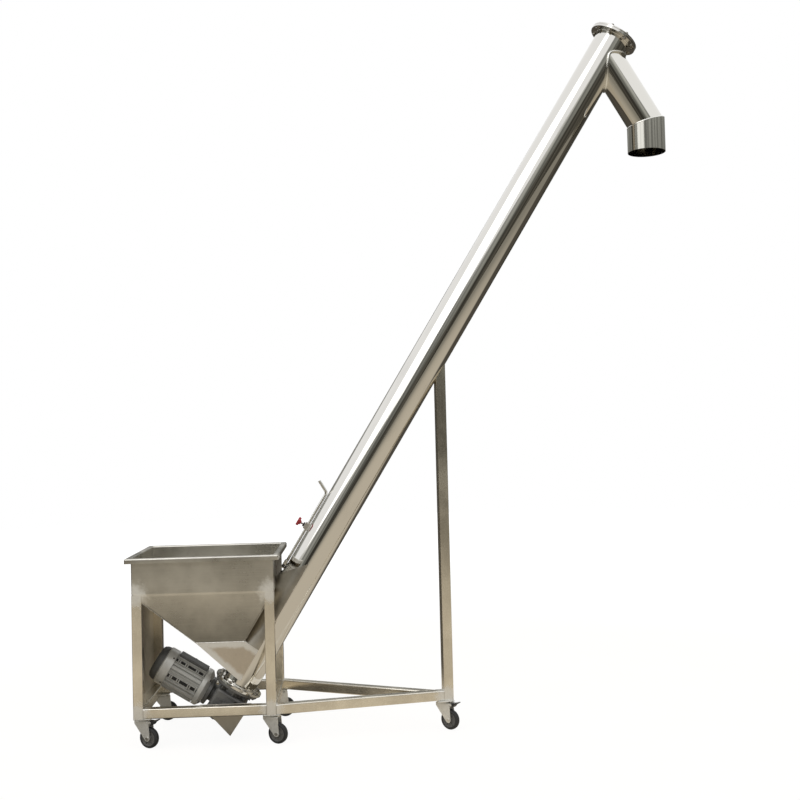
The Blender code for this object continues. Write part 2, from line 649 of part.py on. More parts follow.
def bolt_mesh(name, low, high, head_low, head_high):
    """A ring of bolts, each a hexagonal head or nut with its thread end, as one mesh."""
    shape = bmesh.new()
    for i in range(BOLT_COUNT):
        angle = math.tau * (i + 0.5) / BOLT_COUNT
        place = Matrix.Translation((BOLT_CIRCLE * math.cos(angle), BOLT_CIRCLE * math.sin(angle), 0.0))
        for radius, sides, a, b in ((BOLT_HEAD_RADIUS, 6, head_low, head_high),
                                    (BOLT_RADIUS, 8, low, high)):
            if b > a:
                middle = Matrix.Translation((0, 0, (a + b) / 2))
                bmesh.ops.create_cone(shape, cap_ends=True, segments=sides, radius1=radius,
                                      radius2=radius, depth=b - a, matrix=place @ middle)
    return to_mesh(shape, name, smooth=False)


def make_flanges():
    """Ring flanges at both ends of the tube; bolt heads and nuts are one piece with what they clamp."""
    inner = TUBE_RADIUS + SEAT_GAP
    head = BOLT_HEAD_HEIGHT
    sink = 0.002
    thick = FLANGE_THICK
    flange = add("lower_flange", washer_mesh(inner, FLANGE_RADIUS, 0.0, thick, "lower_flange"),
                 line, BRUSHED)
    weld(flange, add("lower_bolts", bolt_mesh("lower_bolts", 0, 0, thick - sink, thick + head), line))

    top = TUBE_LENGTH
    flange = add("upper_flange", washer_mesh(inner, FLANGE_RADIUS, top - thick, top, "upper_flange"),
                 line, BRUSHED)
    weld(flange, add("upper_nuts", bolt_mesh("upper_nuts", 0, 0, top - thick - head, top - thick + sink),
                     line))

    face = top + SEAT_GAP
    outer = face + TOP_COVER_THICK
    cover = add("top_cover", rod_mesh(FLANGE_RADIUS, face, outer, "top_cover", ROUND), line, POLISHED)
    weld(cover, add("cover_bolts", bolt_mesh("cover_bolts", 0, 0, outer - sink, outer + head), line))


def make_bearings():
    """Top bearing hangs from the cover; the lower seal ring sits inside the tube's lower end."""
    top = TUBE_LENGTH
    low = top - BEARING_LENGTH
    bore = STUB_RADIUS + SEAT_GAP
    profile = [(bore, low), (BEARING_RADIUS, low), (BEARING_RADIUS + 0.004, top - 0.012),
               (BEARING_FLANGE_RADIUS, top - 0.010), (BEARING_FLANGE_RADIUS, top), (bore, top)]
    add("top_bearing", turned_mesh(profile, "top_bearing", SMALL, True), line, CAST)
    outer = TUBE_RADIUS - TUBE_WALL - SEAT_GAP
    add("lower_seal", washer_mesh(bore, outer, 0.0, SEAL_THICK, "lower_seal"), line, RUBBER)


def make_auger():
    """Hollow shaft with a helical flight, and a solid stub in each end."""
    low = SHAFT_START
    high = TUBE_LENGTH - BEARING_LENGTH - 0.006
    shaft = add("auger_screw", washer_mesh(SHAFT_RADIUS - SHAFT_WALL, SHAFT_RADIUS, low, high,
                                           "auger_screw", SMALL), line, STEEL)
    flight_radius = TUBE_RADIUS - TUBE_WALL - FLIGHT_CLEARANCE
    length = TUBE_LENGTH - FLIGHT_END_BELOW_TOP - FLIGHT_START
    turns = length / AUGER_PITCH
    steps = round(turns * FLIGHT_STEPS)
    shape = bmesh.new()
    inner = SHAFT_RADIUS - SHAFT_WALL / 2
    section = [(inner, 0.0), (flight_radius, 0.0), (flight_radius, FLIGHT_THICK), (inner, FLIGHT_THICK)]
    points = [shape.verts.new((r, 0.0, FLIGHT_START + z)) for r, z in section]
    edges = [shape.edges.new((points[i], points[(i + 1) % 4])) for i in range(4)]
    result = bmesh.ops.spin(shape, geom=points + edges, cent=(0, 0, 0), axis=(0, 0, 1),
                            dvec=(0, 0, length / steps), angle=math.tau * turns, steps=steps)
    last = [item for item in result["geom_last"] if isinstance(item, bmesh.types.BMVert)]
    shape.faces.new(points)
    bmesh.ops.contextual_create(shape, geom=last)
    weld(shaft, add("flight", to_mesh(shape, "flight"), line))

    bore = SHAFT_RADIUS - SHAFT_WALL - SEAT_GAP
    grip = STUB_GRIP
    foot = -DRIVE_DROP - GEARBOX_DEPTH / 2 + 0.006
    profile = [(0, foot), (STUB_RADIUS, foot), (STUB_RADIUS, low), (bore, low), (bore, low + grip),
               (0, low + grip)]
    add("lower_stub", turned_mesh(profile, "lower_stub", SMALL), line, STEEL)
    tip = TUBE_LENGTH - 0.004
    profile = [(0, high - grip), (bore, high - grip), (bore, high), (STUB_RADIUS, high),
               (STUB_RADIUS, tip), (0, tip)]
    add("upper_stub", turned_mesh(profile, "upper_stub", SMALL), line, STEEL)


def pipe_ring(centre, direction, radius, plane):
    """A circle about direction, slid along it onto a plane."""
    side = Vector((0, 1, 0))
    over = direction.cross(side)
    ring = []
    for k in range(ROUND):
        turn = math.tau * k / ROUND
        point = centre + side * radius * math.cos(turn) + over * radius * math.sin(turn)
        ring.append(meet_plane(point, direction, plane))
    return ring


def make_spout():
    """Branch pipe and wider vertical outlet, mitred with a step between them, open at both ends."""
    down = Vector((0, 0, -1))
    across = (BRANCH_DIRECTION + down).normalized()
    mitre = (MITRE_POINT, across)
    inner_mitre = (MITRE_POINT + across * SPOUT_WALL * 1.5, across)
    start = (BRANCH_POINT, BRANCH_DIRECTION)
    mouth = (MOUTH_POINT, down)
    wall = SPOUT_WALL
    rings = [pipe_ring(BRANCH_POINT, BRANCH_DIRECTION, BRANCH_RADIUS, start),
             pipe_ring(MITRE_POINT, BRANCH_DIRECTION, BRANCH_RADIUS, mitre),
             pipe_ring(MITRE_POINT, down, OUTLET_PIPE_RADIUS, mitre),
             pipe_ring(MOUTH_POINT, down, OUTLET_PIPE_RADIUS, mouth),
             pipe_ring(MOUTH_POINT, down, OUTLET_PIPE_RADIUS - wall, mouth),
             pipe_ring(MITRE_POINT, down, OUTLET_PIPE_RADIUS - wall, inner_mitre),
             pipe_ring(MITRE_POINT, BRANCH_DIRECTION, BRANCH_RADIUS - wall, inner_mitre),
             pipe_ring(BRANCH_POINT, BRANCH_DIRECTION, BRANCH_RADIUS - wall, start)]
    spout = add("discharge_spout", ring_mesh(rings, "discharge_spout", closed=True, smooth=True),
                shop, POLISHED)
    cut(spout, tube_cutter("spout_saddle", TUBE_RADIUS + SEAT_GAP, TUBE_LENGTH - 0.5,
                           TUBE_LENGTH + 0.05))
    mesh = washer_mesh(TUBE_RADIUS - 0.01, FLANGE_RADIUS + 0.05, TUBE_LENGTH - FLANGE_THICK -
                       BOLT_HEAD_HEIGHT - SEAT_GAP, TUBE_LENGTH + 0.05, "spout_flange_relief")
    cut(spout, add("spout_flange_relief", mesh, line))


# ---- casters ----------------------------------------------------------------------------
def fork_meshes(name):
    """Bent fork: a round top over the swivel and two tapering cheeks down to the axle."""
    top = GROUND_CLEARANCE - CASTER_PLATE_THICK - SWIVEL_THICK - SEAT_GAP * 3
    inside = WHEEL_WIDTH / 2 + WHEEL_SIDE_GAP
    half = inside + FORK_SHEET
    boss = AXLE_BOSS
    outline = [(-FORK_RADIUS, top), (-FORK_RADIUS, top - 0.012),
               (CASTER_TRAIL - boss, WHEEL_RADIUS - 0.004), (CASTER_TRAIL, WHEEL_RADIUS - boss),
               (CASTER_TRAIL + boss, WHEEL_RADIUS - 0.002), (CASTER_TRAIL + 0.010, WHEEL_RADIUS + 0.020),
               (FORK_RADIUS, top - 0.014), (FORK_RADIUS, top)]
    fork = prism_mesh(outline, -half, half, name)
    low = (-FORK_RADIUS - 0.02, -inside, -0.01)
    high = (FORK_RADIUS + 0.05, inside, top - FORK_SHEET)
    return fork, box_mesh(low, high, name + "_gap"), top, half


def make_caster(name, x, y, turn, braked):
    """One caster: fixed plate and race, turning fork, axle, wheel, and a brake pedal where it has one."""
    base = empty(name + "_place", shop, (x, y, 0.0), (0.0, 0.0, turn))
    plate_top = GROUND_CLEARANCE - SEAT_GAP
    plate_low = plate_top - CASTER_PLATE_THICK
    half_plate = CASTER_PLATE / 2
    fixed = empty(name + "_fixed", shop, (x, y, 0.0), (0.0, 0.0, 0.0))
    if name == "leg_caster":
        fixed.rotation_euler.z = math.atan2(long_rail_direction().y, long_rail_direction().x)
    plate = add(name + "_plate", box_mesh((-half_plate, -half_plate, plate_low),
                                          (half_plate, half_plate, plate_top), name + "_plate"),
                fixed, ZINC)
    race = rod_mesh(SWIVEL_RADIUS, plate_low - SWIVEL_THICK, plate_low + CASTER_PLATE_THICK / 2,
                    name + "_race")
    weld(plate, add(name + "_race", race, fixed))

    mesh, gap_mesh, top, half = fork_meshes(name + "_fork")
    fork = add(name + "_fork", mesh, base, ZINC)
    cut(fork, add(name + "_gap", gap_mesh, base))
    hole = rod_mesh(AXLE_RADIUS + SEAT_GAP, -0.05, 0.05, name + "_axle_hole", 12)
    cut(fork, add(name + "_axle_hole", hole, base, place=(CASTER_TRAIL, 0, WHEEL_RADIUS),
                  turn=(math.pi / 2, 0, 0)))

    end = half + AXLE_HEAD
    head = AXLE_RADIUS + AXLE_HEAD
    face = half + SEAT_GAP
    profile = [(0, -end), (head, -end), (head, -face), (AXLE_RADIUS, -face), (AXLE_RADIUS, face),
               (head, face), (head, end), (0, end)]
    add(name + "_axle", turned_mesh(profile, name + "_axle", 12), base, STEEL,
        place=(CASTER_TRAIL, 0, WHEEL_RADIUS), turn=(math.pi / 2, 0, 0))

    side = WHEEL_WIDTH / 2
    bore = AXLE_RADIUS + SEAT_GAP
    shoulder = WHEEL_RADIUS - TYRE_ROUNDING / 2
    half_profile = [(bore, side), (WHEEL_HUB_RADIUS, side), (WHEEL_DISC_RADIUS, side - 0.002),
                    (shoulder, side - 0.001), (WHEEL_RADIUS, side - TYRE_ROUNDING)]
    profile = [(radius, -height) for radius, height in half_profile]
    profile += reversed(half_profile)
    add(name + "_wheel", turned_mesh(profile, name + "_wheel", 24, True), base, RUBBER,
        place=(CASTER_TRAIL, 0, WHEEL_RADIUS), turn=(math.pi / 2, 0, 0))

    if braked:
        make_pedal(name, base, fork, top, half)


def make_pedal(name, base, fork, top, half):
    """Brake pedal over the wheel, hinged on a pin between two ears of the fork."""
    hub = PEDAL_HUB
    pin = Vector((FORK_RADIUS + RUN_GAP + hub, 0.0, top - PEDAL_DROP))
    inside = half - FORK_SHEET
    for side, low, high in (("near", -half, -inside), ("far", inside, half)):
        ear = box_mesh((FORK_RADIUS - 0.004, low, pin.z - hub), (pin.x + hub, high, top - 0.001),
                       name + "_" + side + "_ear")
        weld(fork, add(name + "_" + side + "_ear", ear, base))
    rod = rod_mesh(PEDAL_PIN_RADIUS, -half - 0.001, half + 0.001, name + "_pin", 12)
    weld(fork, add(name + "_pin", rod, base, place=pin, turn=(math.pi / 2, 0, 0)))

    flat = hub * 0.45
    outline = [(pin.x + x, pin.z + z) for x, z in
               ((-hub, -flat), (-hub, flat), (-flat, hub), (0.010, 0.0065), (0.030, 0.0115),
                (0.032, 0.0085), (0.016, -0.0005), (0.008, -0.0105), (0.001, -0.0105), (-flat, -hub))]
    reach = inside - SEAT_GAP
    pedal = add(name + "_pedal", prism_mesh(outline, -reach, reach, name + "_pedal"), base, CAST)
    bore = rod_mesh(PEDAL_PIN_RADIUS + SEAT_GAP, -half, half, name + "_pedal_bore", 12)
    cut(pedal, add(name + "_pedal_bore", bore, base, place=pin, turn=(math.pi / 2, 0, 0)))


def make_casters():
    inset = CASTER_PLATE / 2
    rear = FRAME_DEPTH - inset
    right = FRAME_WIDTH - POST_SIZE / 2
    along = long_rail_direction()
    leg_x = LEG_X - along.x * SWIVEL_SETBACK
    leg_y = TUBE_Y - along.y * SWIVEL_SETBACK
    make_caster("front_left_caster", inset, inset, math.radians(-24), True)
    make_caster("rear_left_caster", inset, rear, math.radians(20), False)
    make_caster("front_right_caster", right, inset, math.radians(-24), False)
    make_caster("rear_right_caster", right, rear, math.radians(15), False)
    make_caster("leg_caster", leg_x, leg_y, math.radians(-38), True)


# ---- drive ------------------------------------------------------------------------------
def make_gearbox():
    """Worm gearbox: square case round the wheel, a barrel round the worm, output neck and foot."""
    half = GEARBOX_HALF
    low = -DRIVE_DROP - GEARBOX_DEPTH / 2
    high = -DRIVE_DROP + GEARBOX_DEPTH / 2
    case = box_mesh((-half, -half, low), (half, half, high), "gearbox_housing")
    gearbox = add("gearbox_housing", case, line, CAST)
    soften(gearbox, GEARBOX_ROUNDING, 2)
    barrel = rod_mesh(WORM_BARREL_RADIUS, -half - 0.004, MOTOR_START - MOTOR_SEAT / 2, "worm_barrel", 24)
    weld(gearbox, add("worm_barrel", barrel, motor_line))
    plate = rod_mesh(MOTOR_SEAT_RADIUS, MOTOR_START - MOTOR_SEAT, MOTOR_START - SEAT_GAP, "motor_seat", ROUND)
    weld(gearbox, add("motor_seat", plate, motor_line))
    neck_top = -SEAT_GAP
    collar = GEARBOX_COLLAR_RADIUS
    neck = turned_mesh([(0, high - 0.006), (collar, high - 0.006), (collar, neck_top - GEARBOX_NECK),
                        (GEARBOX_NECK_RADIUS, neck_top - GEARBOX_NECK + 0.004),
                        (GEARBOX_NECK_RADIUS, neck_top), (0, neck_top)], "output_neck", ROUND)
    weld(gearbox, add("output_neck", neck, line))
    reach = TUBE_Y - (POST_SIZE + SEAT_GAP * 2 + DRIVE_PLATE)
    foot = box_mesh((-0.020, -reach, -DRIVE_DROP - FOOT_HALF), (FOOT_HALF, -half + 0.01,
                                                               -DRIVE_DROP + FOOT_HALF), "gearbox_foot")
    weld(gearbox, add("gearbox_foot", foot, line))

    hub = WORM_WHEEL_HUB + RUN_GAP
    rim = WORM_WHEEL_RADIUS + GEAR_SPACE
    deep = WORM_WHEEL_HALF + GEAR_SPACE * 2
    wheel_space = [(0, low - 0.01), (hub, low - 0.01), (hub, -DRIVE_DROP - deep),
                   (rim, -DRIVE_DROP - deep), (rim, -DRIVE_DROP + deep),
                   (hub, -DRIVE_DROP + deep), (hub, 0.01), (0, 0.01)]
    cut(gearbox, add("wheel_space", turned_mesh(wheel_space, "wheel_space", 24), line))
    worm_space = rod_mesh(WORM_RADIUS + 0.002, -half + 0.012, MOTOR_START + 0.01, "worm_space", SMALL)
    cut(gearbox, add("worm_space", worm_space, motor_line))


def make_gears():
    """Hollow output shaft with its worm wheel, and the worm on the motor's shaft."""
    end = GEARBOX_DEPTH / 2 - 0.004
    middle = -DRIVE_DROP
    bore = STUB_RADIUS + SEAT_GAP
    hub = WORM_WHEEL_HUB
    rim = WORM_WHEEL_RADIUS
    face = WORM_WHEEL_HALF
    profile = [(bore, middle - end), (hub, middle - end), (hub, middle - face - 0.003),
               (rim, middle - face), (rim, middle + face), (hub, middle + face + 0.003),
               (hub, middle + end), (bore, middle + end)]
    add("worm_wheel", turned_mesh(profile, "worm_wheel", 24, True), line, BRONZE)
    front = -GEARBOX_HALF + 0.014
    body = MOTOR_START + MOTOR_BELL
    rotor_start = body + ROTOR_INSET
    rotor_end = body + MOTOR_BODY - ROTOR_INSET
    tail_end = body + MOTOR_BODY + 0.024
    shaft = MOTOR_SHAFT_RADIUS
    tail = MOTOR_TAIL_RADIUS
    worm_end = 0.045
    profile = [(0, front), (WORM_RADIUS, front), (WORM_RADIUS, worm_end), (shaft, worm_end + 0.003),
               (shaft, rotor_start), (ROTOR_RADIUS, rotor_start), (ROTOR_RADIUS, rotor_end),
               (tail, rotor_end), (tail, tail_end), (0, tail_end)]
    add("motor_shaft", turned_mesh(profile, "motor_shaft", SMALL), motor_line, STEEL)


def fin_outline():
    """Round motor body with square-tipped fins all round."""
    points = []
    step = math.tau / FIN_COUNT
    for i in range(FIN_COUNT):
        middle = step * i
        for radius, share in ((MOTOR_CORE_RADIUS, -0.50), (MOTOR_CORE_RADIUS, -0.20),
                              (MOTOR_RADIUS, -0.16), (MOTOR_RADIUS, 0.16), (MOTOR_CORE_RADIUS, 0.20)):
            angle = middle + step * share
            points.append((radius * math.cos(angle), radius * math.sin(angle)))
    return points


def make_motor():
    start = MOTOR_START
    body = start + MOTOR_BELL
    skirt = body + MOTOR_BODY
    cap = skirt + MOTOR_SKIRT
    shaft_hole = MOTOR_SHAFT_RADIUS + SEAT_GAP
    tail_hole = MOTOR_TAIL_RADIUS + SEAT_GAP
    shoulder = start + 0.016

    spigot = MOTOR_BORE - SEAT_GAP
    profile = [(shaft_hole, start), (MOTOR_FACE_RADIUS, start), (MOTOR_RADIUS - 0.005, shoulder - 0.004),
               (MOTOR_RADIUS, shoulder), (MOTOR_RADIUS, body - SEAT_GAP),
               (spigot, body - SEAT_GAP), (spigot, body + SPIGOT), (spigot - MOTOR_WALL, body + SPIGOT),
               (spigot - MOTOR_WALL, shoulder), (shaft_hole, shoulder - 0.004)]
    add("motor_front_bell", turned_mesh(profile, "motor_front_bell", ROUND, True), motor_line, CAST)

    frame = add("motor_frame", extruded_mesh(fin_outline(), body, skirt - SEAT_GAP, "motor_frame",
                                             smooth=False), motor_line, CAST)
    bore = ROTOR_RADIUS + RUN_GAP
    stator = body + SPIGOT * 3
    shield = skirt - ROTOR_INSET / 2
    inside = [(0, body - 0.01), (MOTOR_BORE, body - 0.01), (MOTOR_BORE, stator), (bore, stator),
              (bore, shield), (tail_hole, shield), (tail_hole, skirt + 0.01), (0, skirt + 0.01)]
    cut(frame, add("motor_inside", turned_mesh(inside, "motor_inside", 32), motor_line))

    outer = MOTOR_RADIUS - 0.002
    end = cap + MOTOR_CAP
    wall = CAP_WALL
    vent = VENT_RADIUS
    face = CAP_FACE_RADIUS
    profile = [(vent, end), (face, end), (face + 0.014, end - 0.006), (face + 0.021, end - 0.018),
               (CAP_RADIUS, cap), (outer, cap - 0.004), (outer, skirt),
               (outer - wall, skirt), (outer - wall, cap - 0.006), (CAP_RADIUS - wall, cap - 0.004),
               (face + 0.018, end - 0.018), (face + 0.012, end - 0.009),
               (face, end - wall), (vent, end - wall)]
    add("fan_cover", turned_mesh(profile, "fan_cover", ROUND, True), motor_line, CAST)

    make_fan(skirt + 0.010)
    make_terminal_box(body)


def make_fan(low):
    """Radial fan on the tail of the motor's shaft."""
    fan = add("motor_fan", washer_mesh(MOTOR_TAIL_RADIUS + SEAT_GAP, FAN_HUB_RADIUS, low, low + FAN_WIDTH,
                                       "motor_fan", SMALL), motor_line, RUBBER)
    root = FAN_HUB_RADIUS - 0.004
    shape = bmesh.new()
    for i in range(FAN_BLADES):
        spin = Matrix.Rotation(math.tau * i / FAN_BLADES, 4, "Z")
        size = Matrix.Diagonal((FAN_RADIUS - root, 0.0025, FAN_WIDTH - 0.001, 1.0))
        place = Matrix.Translation(((FAN_RADIUS + root) / 2, 0.0, low + FAN_WIDTH / 2))
        bmesh.ops.create_cube(shape, size=1.0, matrix=spin @ place @ size)
    weld(fan, add("fan_blades", to_mesh(shape, "fan_blades", smooth=False), motor_line))


def make_terminal_box(body):
    """Terminal box on the far side of the motor, with a cable gland."""
    middle = body + MOTOR_BODY / 2
    near = MOTOR_RADIUS + SEAT_GAP
    half = BOX_HALF
    box = add("terminal_box", box_mesh((-half, near, middle - half), (half, near + BOX_HEIGHT, middle + half),
                                       "terminal_box"), motor_line, CAST)
    soften(box, 0.004, 2)
    gland = rod_mesh(GLAND_RADIUS, half - 0.005, half + 0.017, "cable_gland", 12)
    weld(box, add("cable_gland", gland, motor_line, place=(0.0, near + BOX_HEIGHT / 2, middle),
                  turn=(0, math.pi / 2, 0)))


# ---- build ------------------------------------------------------------------------------
make_posts()
make_rails()
make_leg_and_long_rails()
make_side_panel()
make_drive_plate()
make_hopper()
make_boot()
make_gate_cover()
make_gate()
make_gate_rod()
make_lock_knob(make_rod_guide())
make_tube()
make_flanges()
make_bearings()
make_auger()
make_spout()
make_casters()
make_gearbox()
make_gears()
make_motor()
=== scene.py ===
import json
import math
import bmesh
import bpy
from mathutils import Matrix, Vector


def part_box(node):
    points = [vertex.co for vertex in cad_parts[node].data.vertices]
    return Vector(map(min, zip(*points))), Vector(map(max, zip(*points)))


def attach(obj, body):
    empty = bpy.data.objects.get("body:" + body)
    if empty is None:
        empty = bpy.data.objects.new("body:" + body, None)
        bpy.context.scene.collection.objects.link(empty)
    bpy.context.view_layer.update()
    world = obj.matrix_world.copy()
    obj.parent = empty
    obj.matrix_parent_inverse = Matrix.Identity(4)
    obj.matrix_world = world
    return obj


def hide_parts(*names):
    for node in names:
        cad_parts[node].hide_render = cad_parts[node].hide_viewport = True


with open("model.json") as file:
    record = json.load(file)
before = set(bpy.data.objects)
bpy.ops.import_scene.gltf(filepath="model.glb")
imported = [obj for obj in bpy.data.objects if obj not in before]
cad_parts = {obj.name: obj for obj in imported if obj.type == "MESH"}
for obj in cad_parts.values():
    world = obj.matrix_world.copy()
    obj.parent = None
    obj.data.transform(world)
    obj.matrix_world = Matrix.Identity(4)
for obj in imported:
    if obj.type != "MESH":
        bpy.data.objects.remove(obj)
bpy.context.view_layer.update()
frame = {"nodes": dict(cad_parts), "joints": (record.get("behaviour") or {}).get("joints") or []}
nodes = frame["nodes"]
joints = {joint["name"]: joint for joint in frame["joints"]}
quarter = math.pi / 2


def shift(x, y, z):
    return Matrix.Translation((x, y, z))


def spun(angle, axis="Z"):
    return Matrix.Rotation(angle, 4, axis)


def turnsRound(count, phase=0.0):
    return [spun(math.tau * (i + phase) / count) for i in range(count)]


flipped = spun(math.pi, "X")

# shop frame: the outer front left corner of the four posts, whose feet are at z 0.105 in it
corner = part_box("front_left_post")[0]
shop = shift(corner.x, corner.y, corner.z - 0.105)
# tube frame: z runs up the tube, x points to its lower right side
tubePlace = shop @ shift(0.4005, 0.160, 0.1953) @ spun(math.radians(90 - 58.4), "Y")
# motor frame: z runs outward along the motor, x runs up the tube
motorPlace = tubePlace @ shift(0.0, 0.063, -0.097) @ spun(-quarter, "Y")
print("frame loaded:", len(nodes), "nodes")


class Wire:
    # a socket that takes part in sums like a number does
    def __init__(self, tree, socket=None):
        self.tree = tree
        self.socket = socket

    def node(self, kind, settings=None, inputs=None, output=0):
        made = self.tree.nodes.new(kind)
        for key, value in (settings or {}).items():
            if key == "stops":
                stops = made.color_ramp.elements
                while len(stops) < len(value):
                    stops.new(1.0)
                for stop, (place, colour) in zip(stops, value):
                    stop.position = place
                    stop.color = (*colour, 1.0)
            else:
                setattr(made, key, value)
        for key, value in (inputs or {}).items():
            if isinstance(value, Wire):
                self.tree.links.new(value.socket, made.inputs[key])
            else:
                made.inputs[key].default_value = value
        return Wire(self.tree, made.outputs[output] if len(made.outputs) else None)

    def maths(self, operation, *values):
        return self.node("ShaderNodeMath", {"operation": operation}, dict(enumerate(values)))

    def __add__(self, other):
        return self.maths("ADD", self, other)

    def __radd__(self, other):
        return self.maths("ADD", other, self)

    def __sub__(self, other):
        return self.maths("SUBTRACT", self, other)

    def __rsub__(self, other):
        return self.maths("SUBTRACT", other, self)

    def __mul__(self, other):
        return self.maths("MULTIPLY", self, other)

    def __rmul__(self, other):
        return self.maths("MULTIPLY", other, self)


def blended(factor, first, second):
    colours = {6: first, 7: second}
    for key, value in colours.items():
        if not isinstance(value, Wire):
            colours[key] = (*value, 1.0)
    return factor.node("ShaderNodeMix", {"data_type": "RGBA"}, {0: factor, **colours}, 2)


def rise(value, low, high):
    # 0 at low, 1 at high, eased between; low may be the larger
    return value.node("ShaderNodeMapRange", {"interpolation_type": "SMOOTHSTEP"},
                      {"Value": value, "From Min": low, "From Max": high})


def cloud(place, scale, detail=3.0, roughness=0.55):
    return place.node("ShaderNodeTexNoise", None,
                      {"Vector": place, "Scale": scale, "Detail": detail, "Roughness": roughness})


def along(place, scale):
    return place.node("ShaderNodeMapping", None, {"Vector": place, "Scale": scale})


def inFrame(place, matrix):
    # object coordinates seen from another frame
    return place.node("ShaderNodeMapping", {"vector_type": "TEXTURE"},
                      {"Vector": place, "Location": matrix.to_translation(), "Rotation": matrix.to_euler()})


def rayKinds(wire):
    names = ("Is Camera Ray", "Is Glossy Ray", "Is Transmission Ray")
    return [wire.node("ShaderNodeLightPath", None, None, name) for name in names]


def nearPoints(place, points, reach):
    # 1 at any of the points, fading to 0 at reach, with a ragged edge
    ragged = cloud(place, 55.0, 4.0, 0.7) * 1.5 + 0.25
    mask = None
    for point in points:
        gap = place.node("ShaderNodeVectorMath", {"operation": "DISTANCE"}, {0: place, 1: point}, 1)
        here = rise(gap * ragged, reach, reach * 0.35)
        mask = here if mask is None else mask.maths("MAXIMUM", mask, here)
    return mask


def nearLines(place, lines, reach):
    # the same for flat lines, each a normal and its offset
    ragged = cloud(place, 60.0, 3.0) * 0.7 + 0.65
    mask = None
    for normal, offset in lines:
        gap = place.node("ShaderNodeVectorMath", {"operation": "DOT_PRODUCT"}, {0: place, 1: normal}, 1)
        here = rise(gap.maths("ABSOLUTE", gap - offset) * ragged, reach, reach * 0.5)
        mask = here if mask is None else mask.maths("MAXIMUM", mask, here)
    return mask


def startMaterial(name):
    material = bpy.data.materials.new(name)
    material.use_nodes = True
    material.node_tree.nodes.clear()
    wire = Wire(material.node_tree)
    return material, wire.node("ShaderNodeTexCoord", None, None, 3)


def endMaterial(material, place, inputs, height, depth, strength):
    inputs["Normal"] = place.node("ShaderNodeBump", None, {"Height": height, "Distance": depth, "Strength": strength})
    shader = place.node("ShaderNodeBsdfPrincipled", None, inputs)
    place.node("ShaderNodeOutputMaterial", None, {"Surface": shader})
    return material


def brushedSteel(name, colour, roughness, grain, patches=(), reach=0.06, patchColour=(0.95, 0.94, 0.90),
                 smudge=0.20, lines=(), lineReach=0.02):
    # drawn sheet or tube: fine grain one way, hand marks, and ground patches round the welds
    material, place = startMaterial(name)
    strokes = cloud(along(place, grain), 1.0, 5.0, 0.7)
    marks = cloud(place, 5.5, 4.0, 0.6)
    fine = cloud(place, 38.0, 4.0, 0.6)
    tone = rise(marks, 0.32, 0.72)
    base = blended(tone, [c * (1 - smudge) for c in colour], [min(c * (1 + smudge * 0.45), 0.95) for c in colour])
    base = blended(rise(fine, 0.55, 0.85) * 0.35, base, [c * 0.72 for c in colour])
    base = blended(rise(strokes, 0.35, 0.75) * 0.25, base, [min(c * 1.2, 0.95) for c in colour])
    rough = roughness * 0.8 + tone * (roughness * 0.35) + strokes * 0.08
    height = strokes * 0.7 + fine * 0.3
    ground = None
    if patches:
        ground = nearPoints(place, patches, reach)
    if lines:
        bands = nearLines(place, lines, lineReach)
        ground = bands if ground is None else ground.maths("MAXIMUM", ground, bands)
    if ground is not None:
        swirl = cloud(place, 160.0, 3.0, 0.7)
        base = blended(ground * 0.85, base, patchColour)
        base = blended(ground * rise(swirl, 0.45, 0.75) * 0.30, base, [c * 0.7 for c in patchColour])
        rough = rough + ground * 0.12
        height = height + ground * swirl * 1.2
    metallic = 1.0 if ground is None else 1.0 - ground * 0.35
    return endMaterial(material, place, {"Base Color": base, "Metallic": metallic, "Roughness": rough},
                       height, 0.0006, 0.25)


def polishedSteel(name, colour, roughness, matrix, wave=0.35):
    # mirror polish: slow ripples along the pipe, fine turning lines, a few smears
    material, world = startMaterial(name)
    place = inFrame(world, matrix)
    ripple = cloud(along(place, (26.0, 26.0, 0.9)), 1.0, 2.0, 0.5)
    dents = cloud(along(place, (7.0, 7.0, 3.0)), 1.0, 1.0, 0.4)
    turning = cloud(along(place, (6.0, 6.0, 900.0)), 1.0, 2.0, 0.6)
    smear = cloud(along(place, (12.0, 12.0, 4.0)), 1.0, 4.0, 0.65)
    scratch = cloud(along(place, (220.0, 220.0, 9.0)), 1.0, 3.0, 0.7)
    dull = rise(smear, 0.52, 0.78)
    base = blended(dull * 0.5, colour, [c * 0.86 for c in colour])
    base = blended(rise(scratch, 0.62, 0.82) * 0.35, base, [c * 0.74 for c in colour])
    rough = roughness + dull * 0.10 + rise(scratch, 0.6, 0.8) * 0.06
    height = ripple * wave + dents * wave + turning * 0.012 + scratch * 0.02
    return endMaterial(material, world, {"Base Color": base, "Metallic": 1.0, "Roughness": rough},
                       height, 0.002, 0.30)


def castMaterial(name, colour, roughness, metallic, dust=(0.30, 0.28, 0.24), dustiness=0.35):
    # sand-cast or sprayed metal: pimpled skin with lighter specks, dust in patches
    material, place = startMaterial(name)
    skin = cloud(place, 420.0, 3.0, 0.6)
    patch = cloud(place, 22.0, 4.0, 0.65)
    base = blended(rise(patch, 0.40, 0.75) * dustiness, colour, dust)
    base = blended(rise(skin, 0.55, 0.80) * 0.35, base, [min(c * 1.7, 0.9) for c in colour])
    rough = roughness + rise(patch, 0.35, 0.8) * 0.18
    return endMaterial(material, place, {"Base Color": base, "Metallic": metallic, "Roughness": rough},
                       skin + patch * 0.5, 0.0006, 0.35)


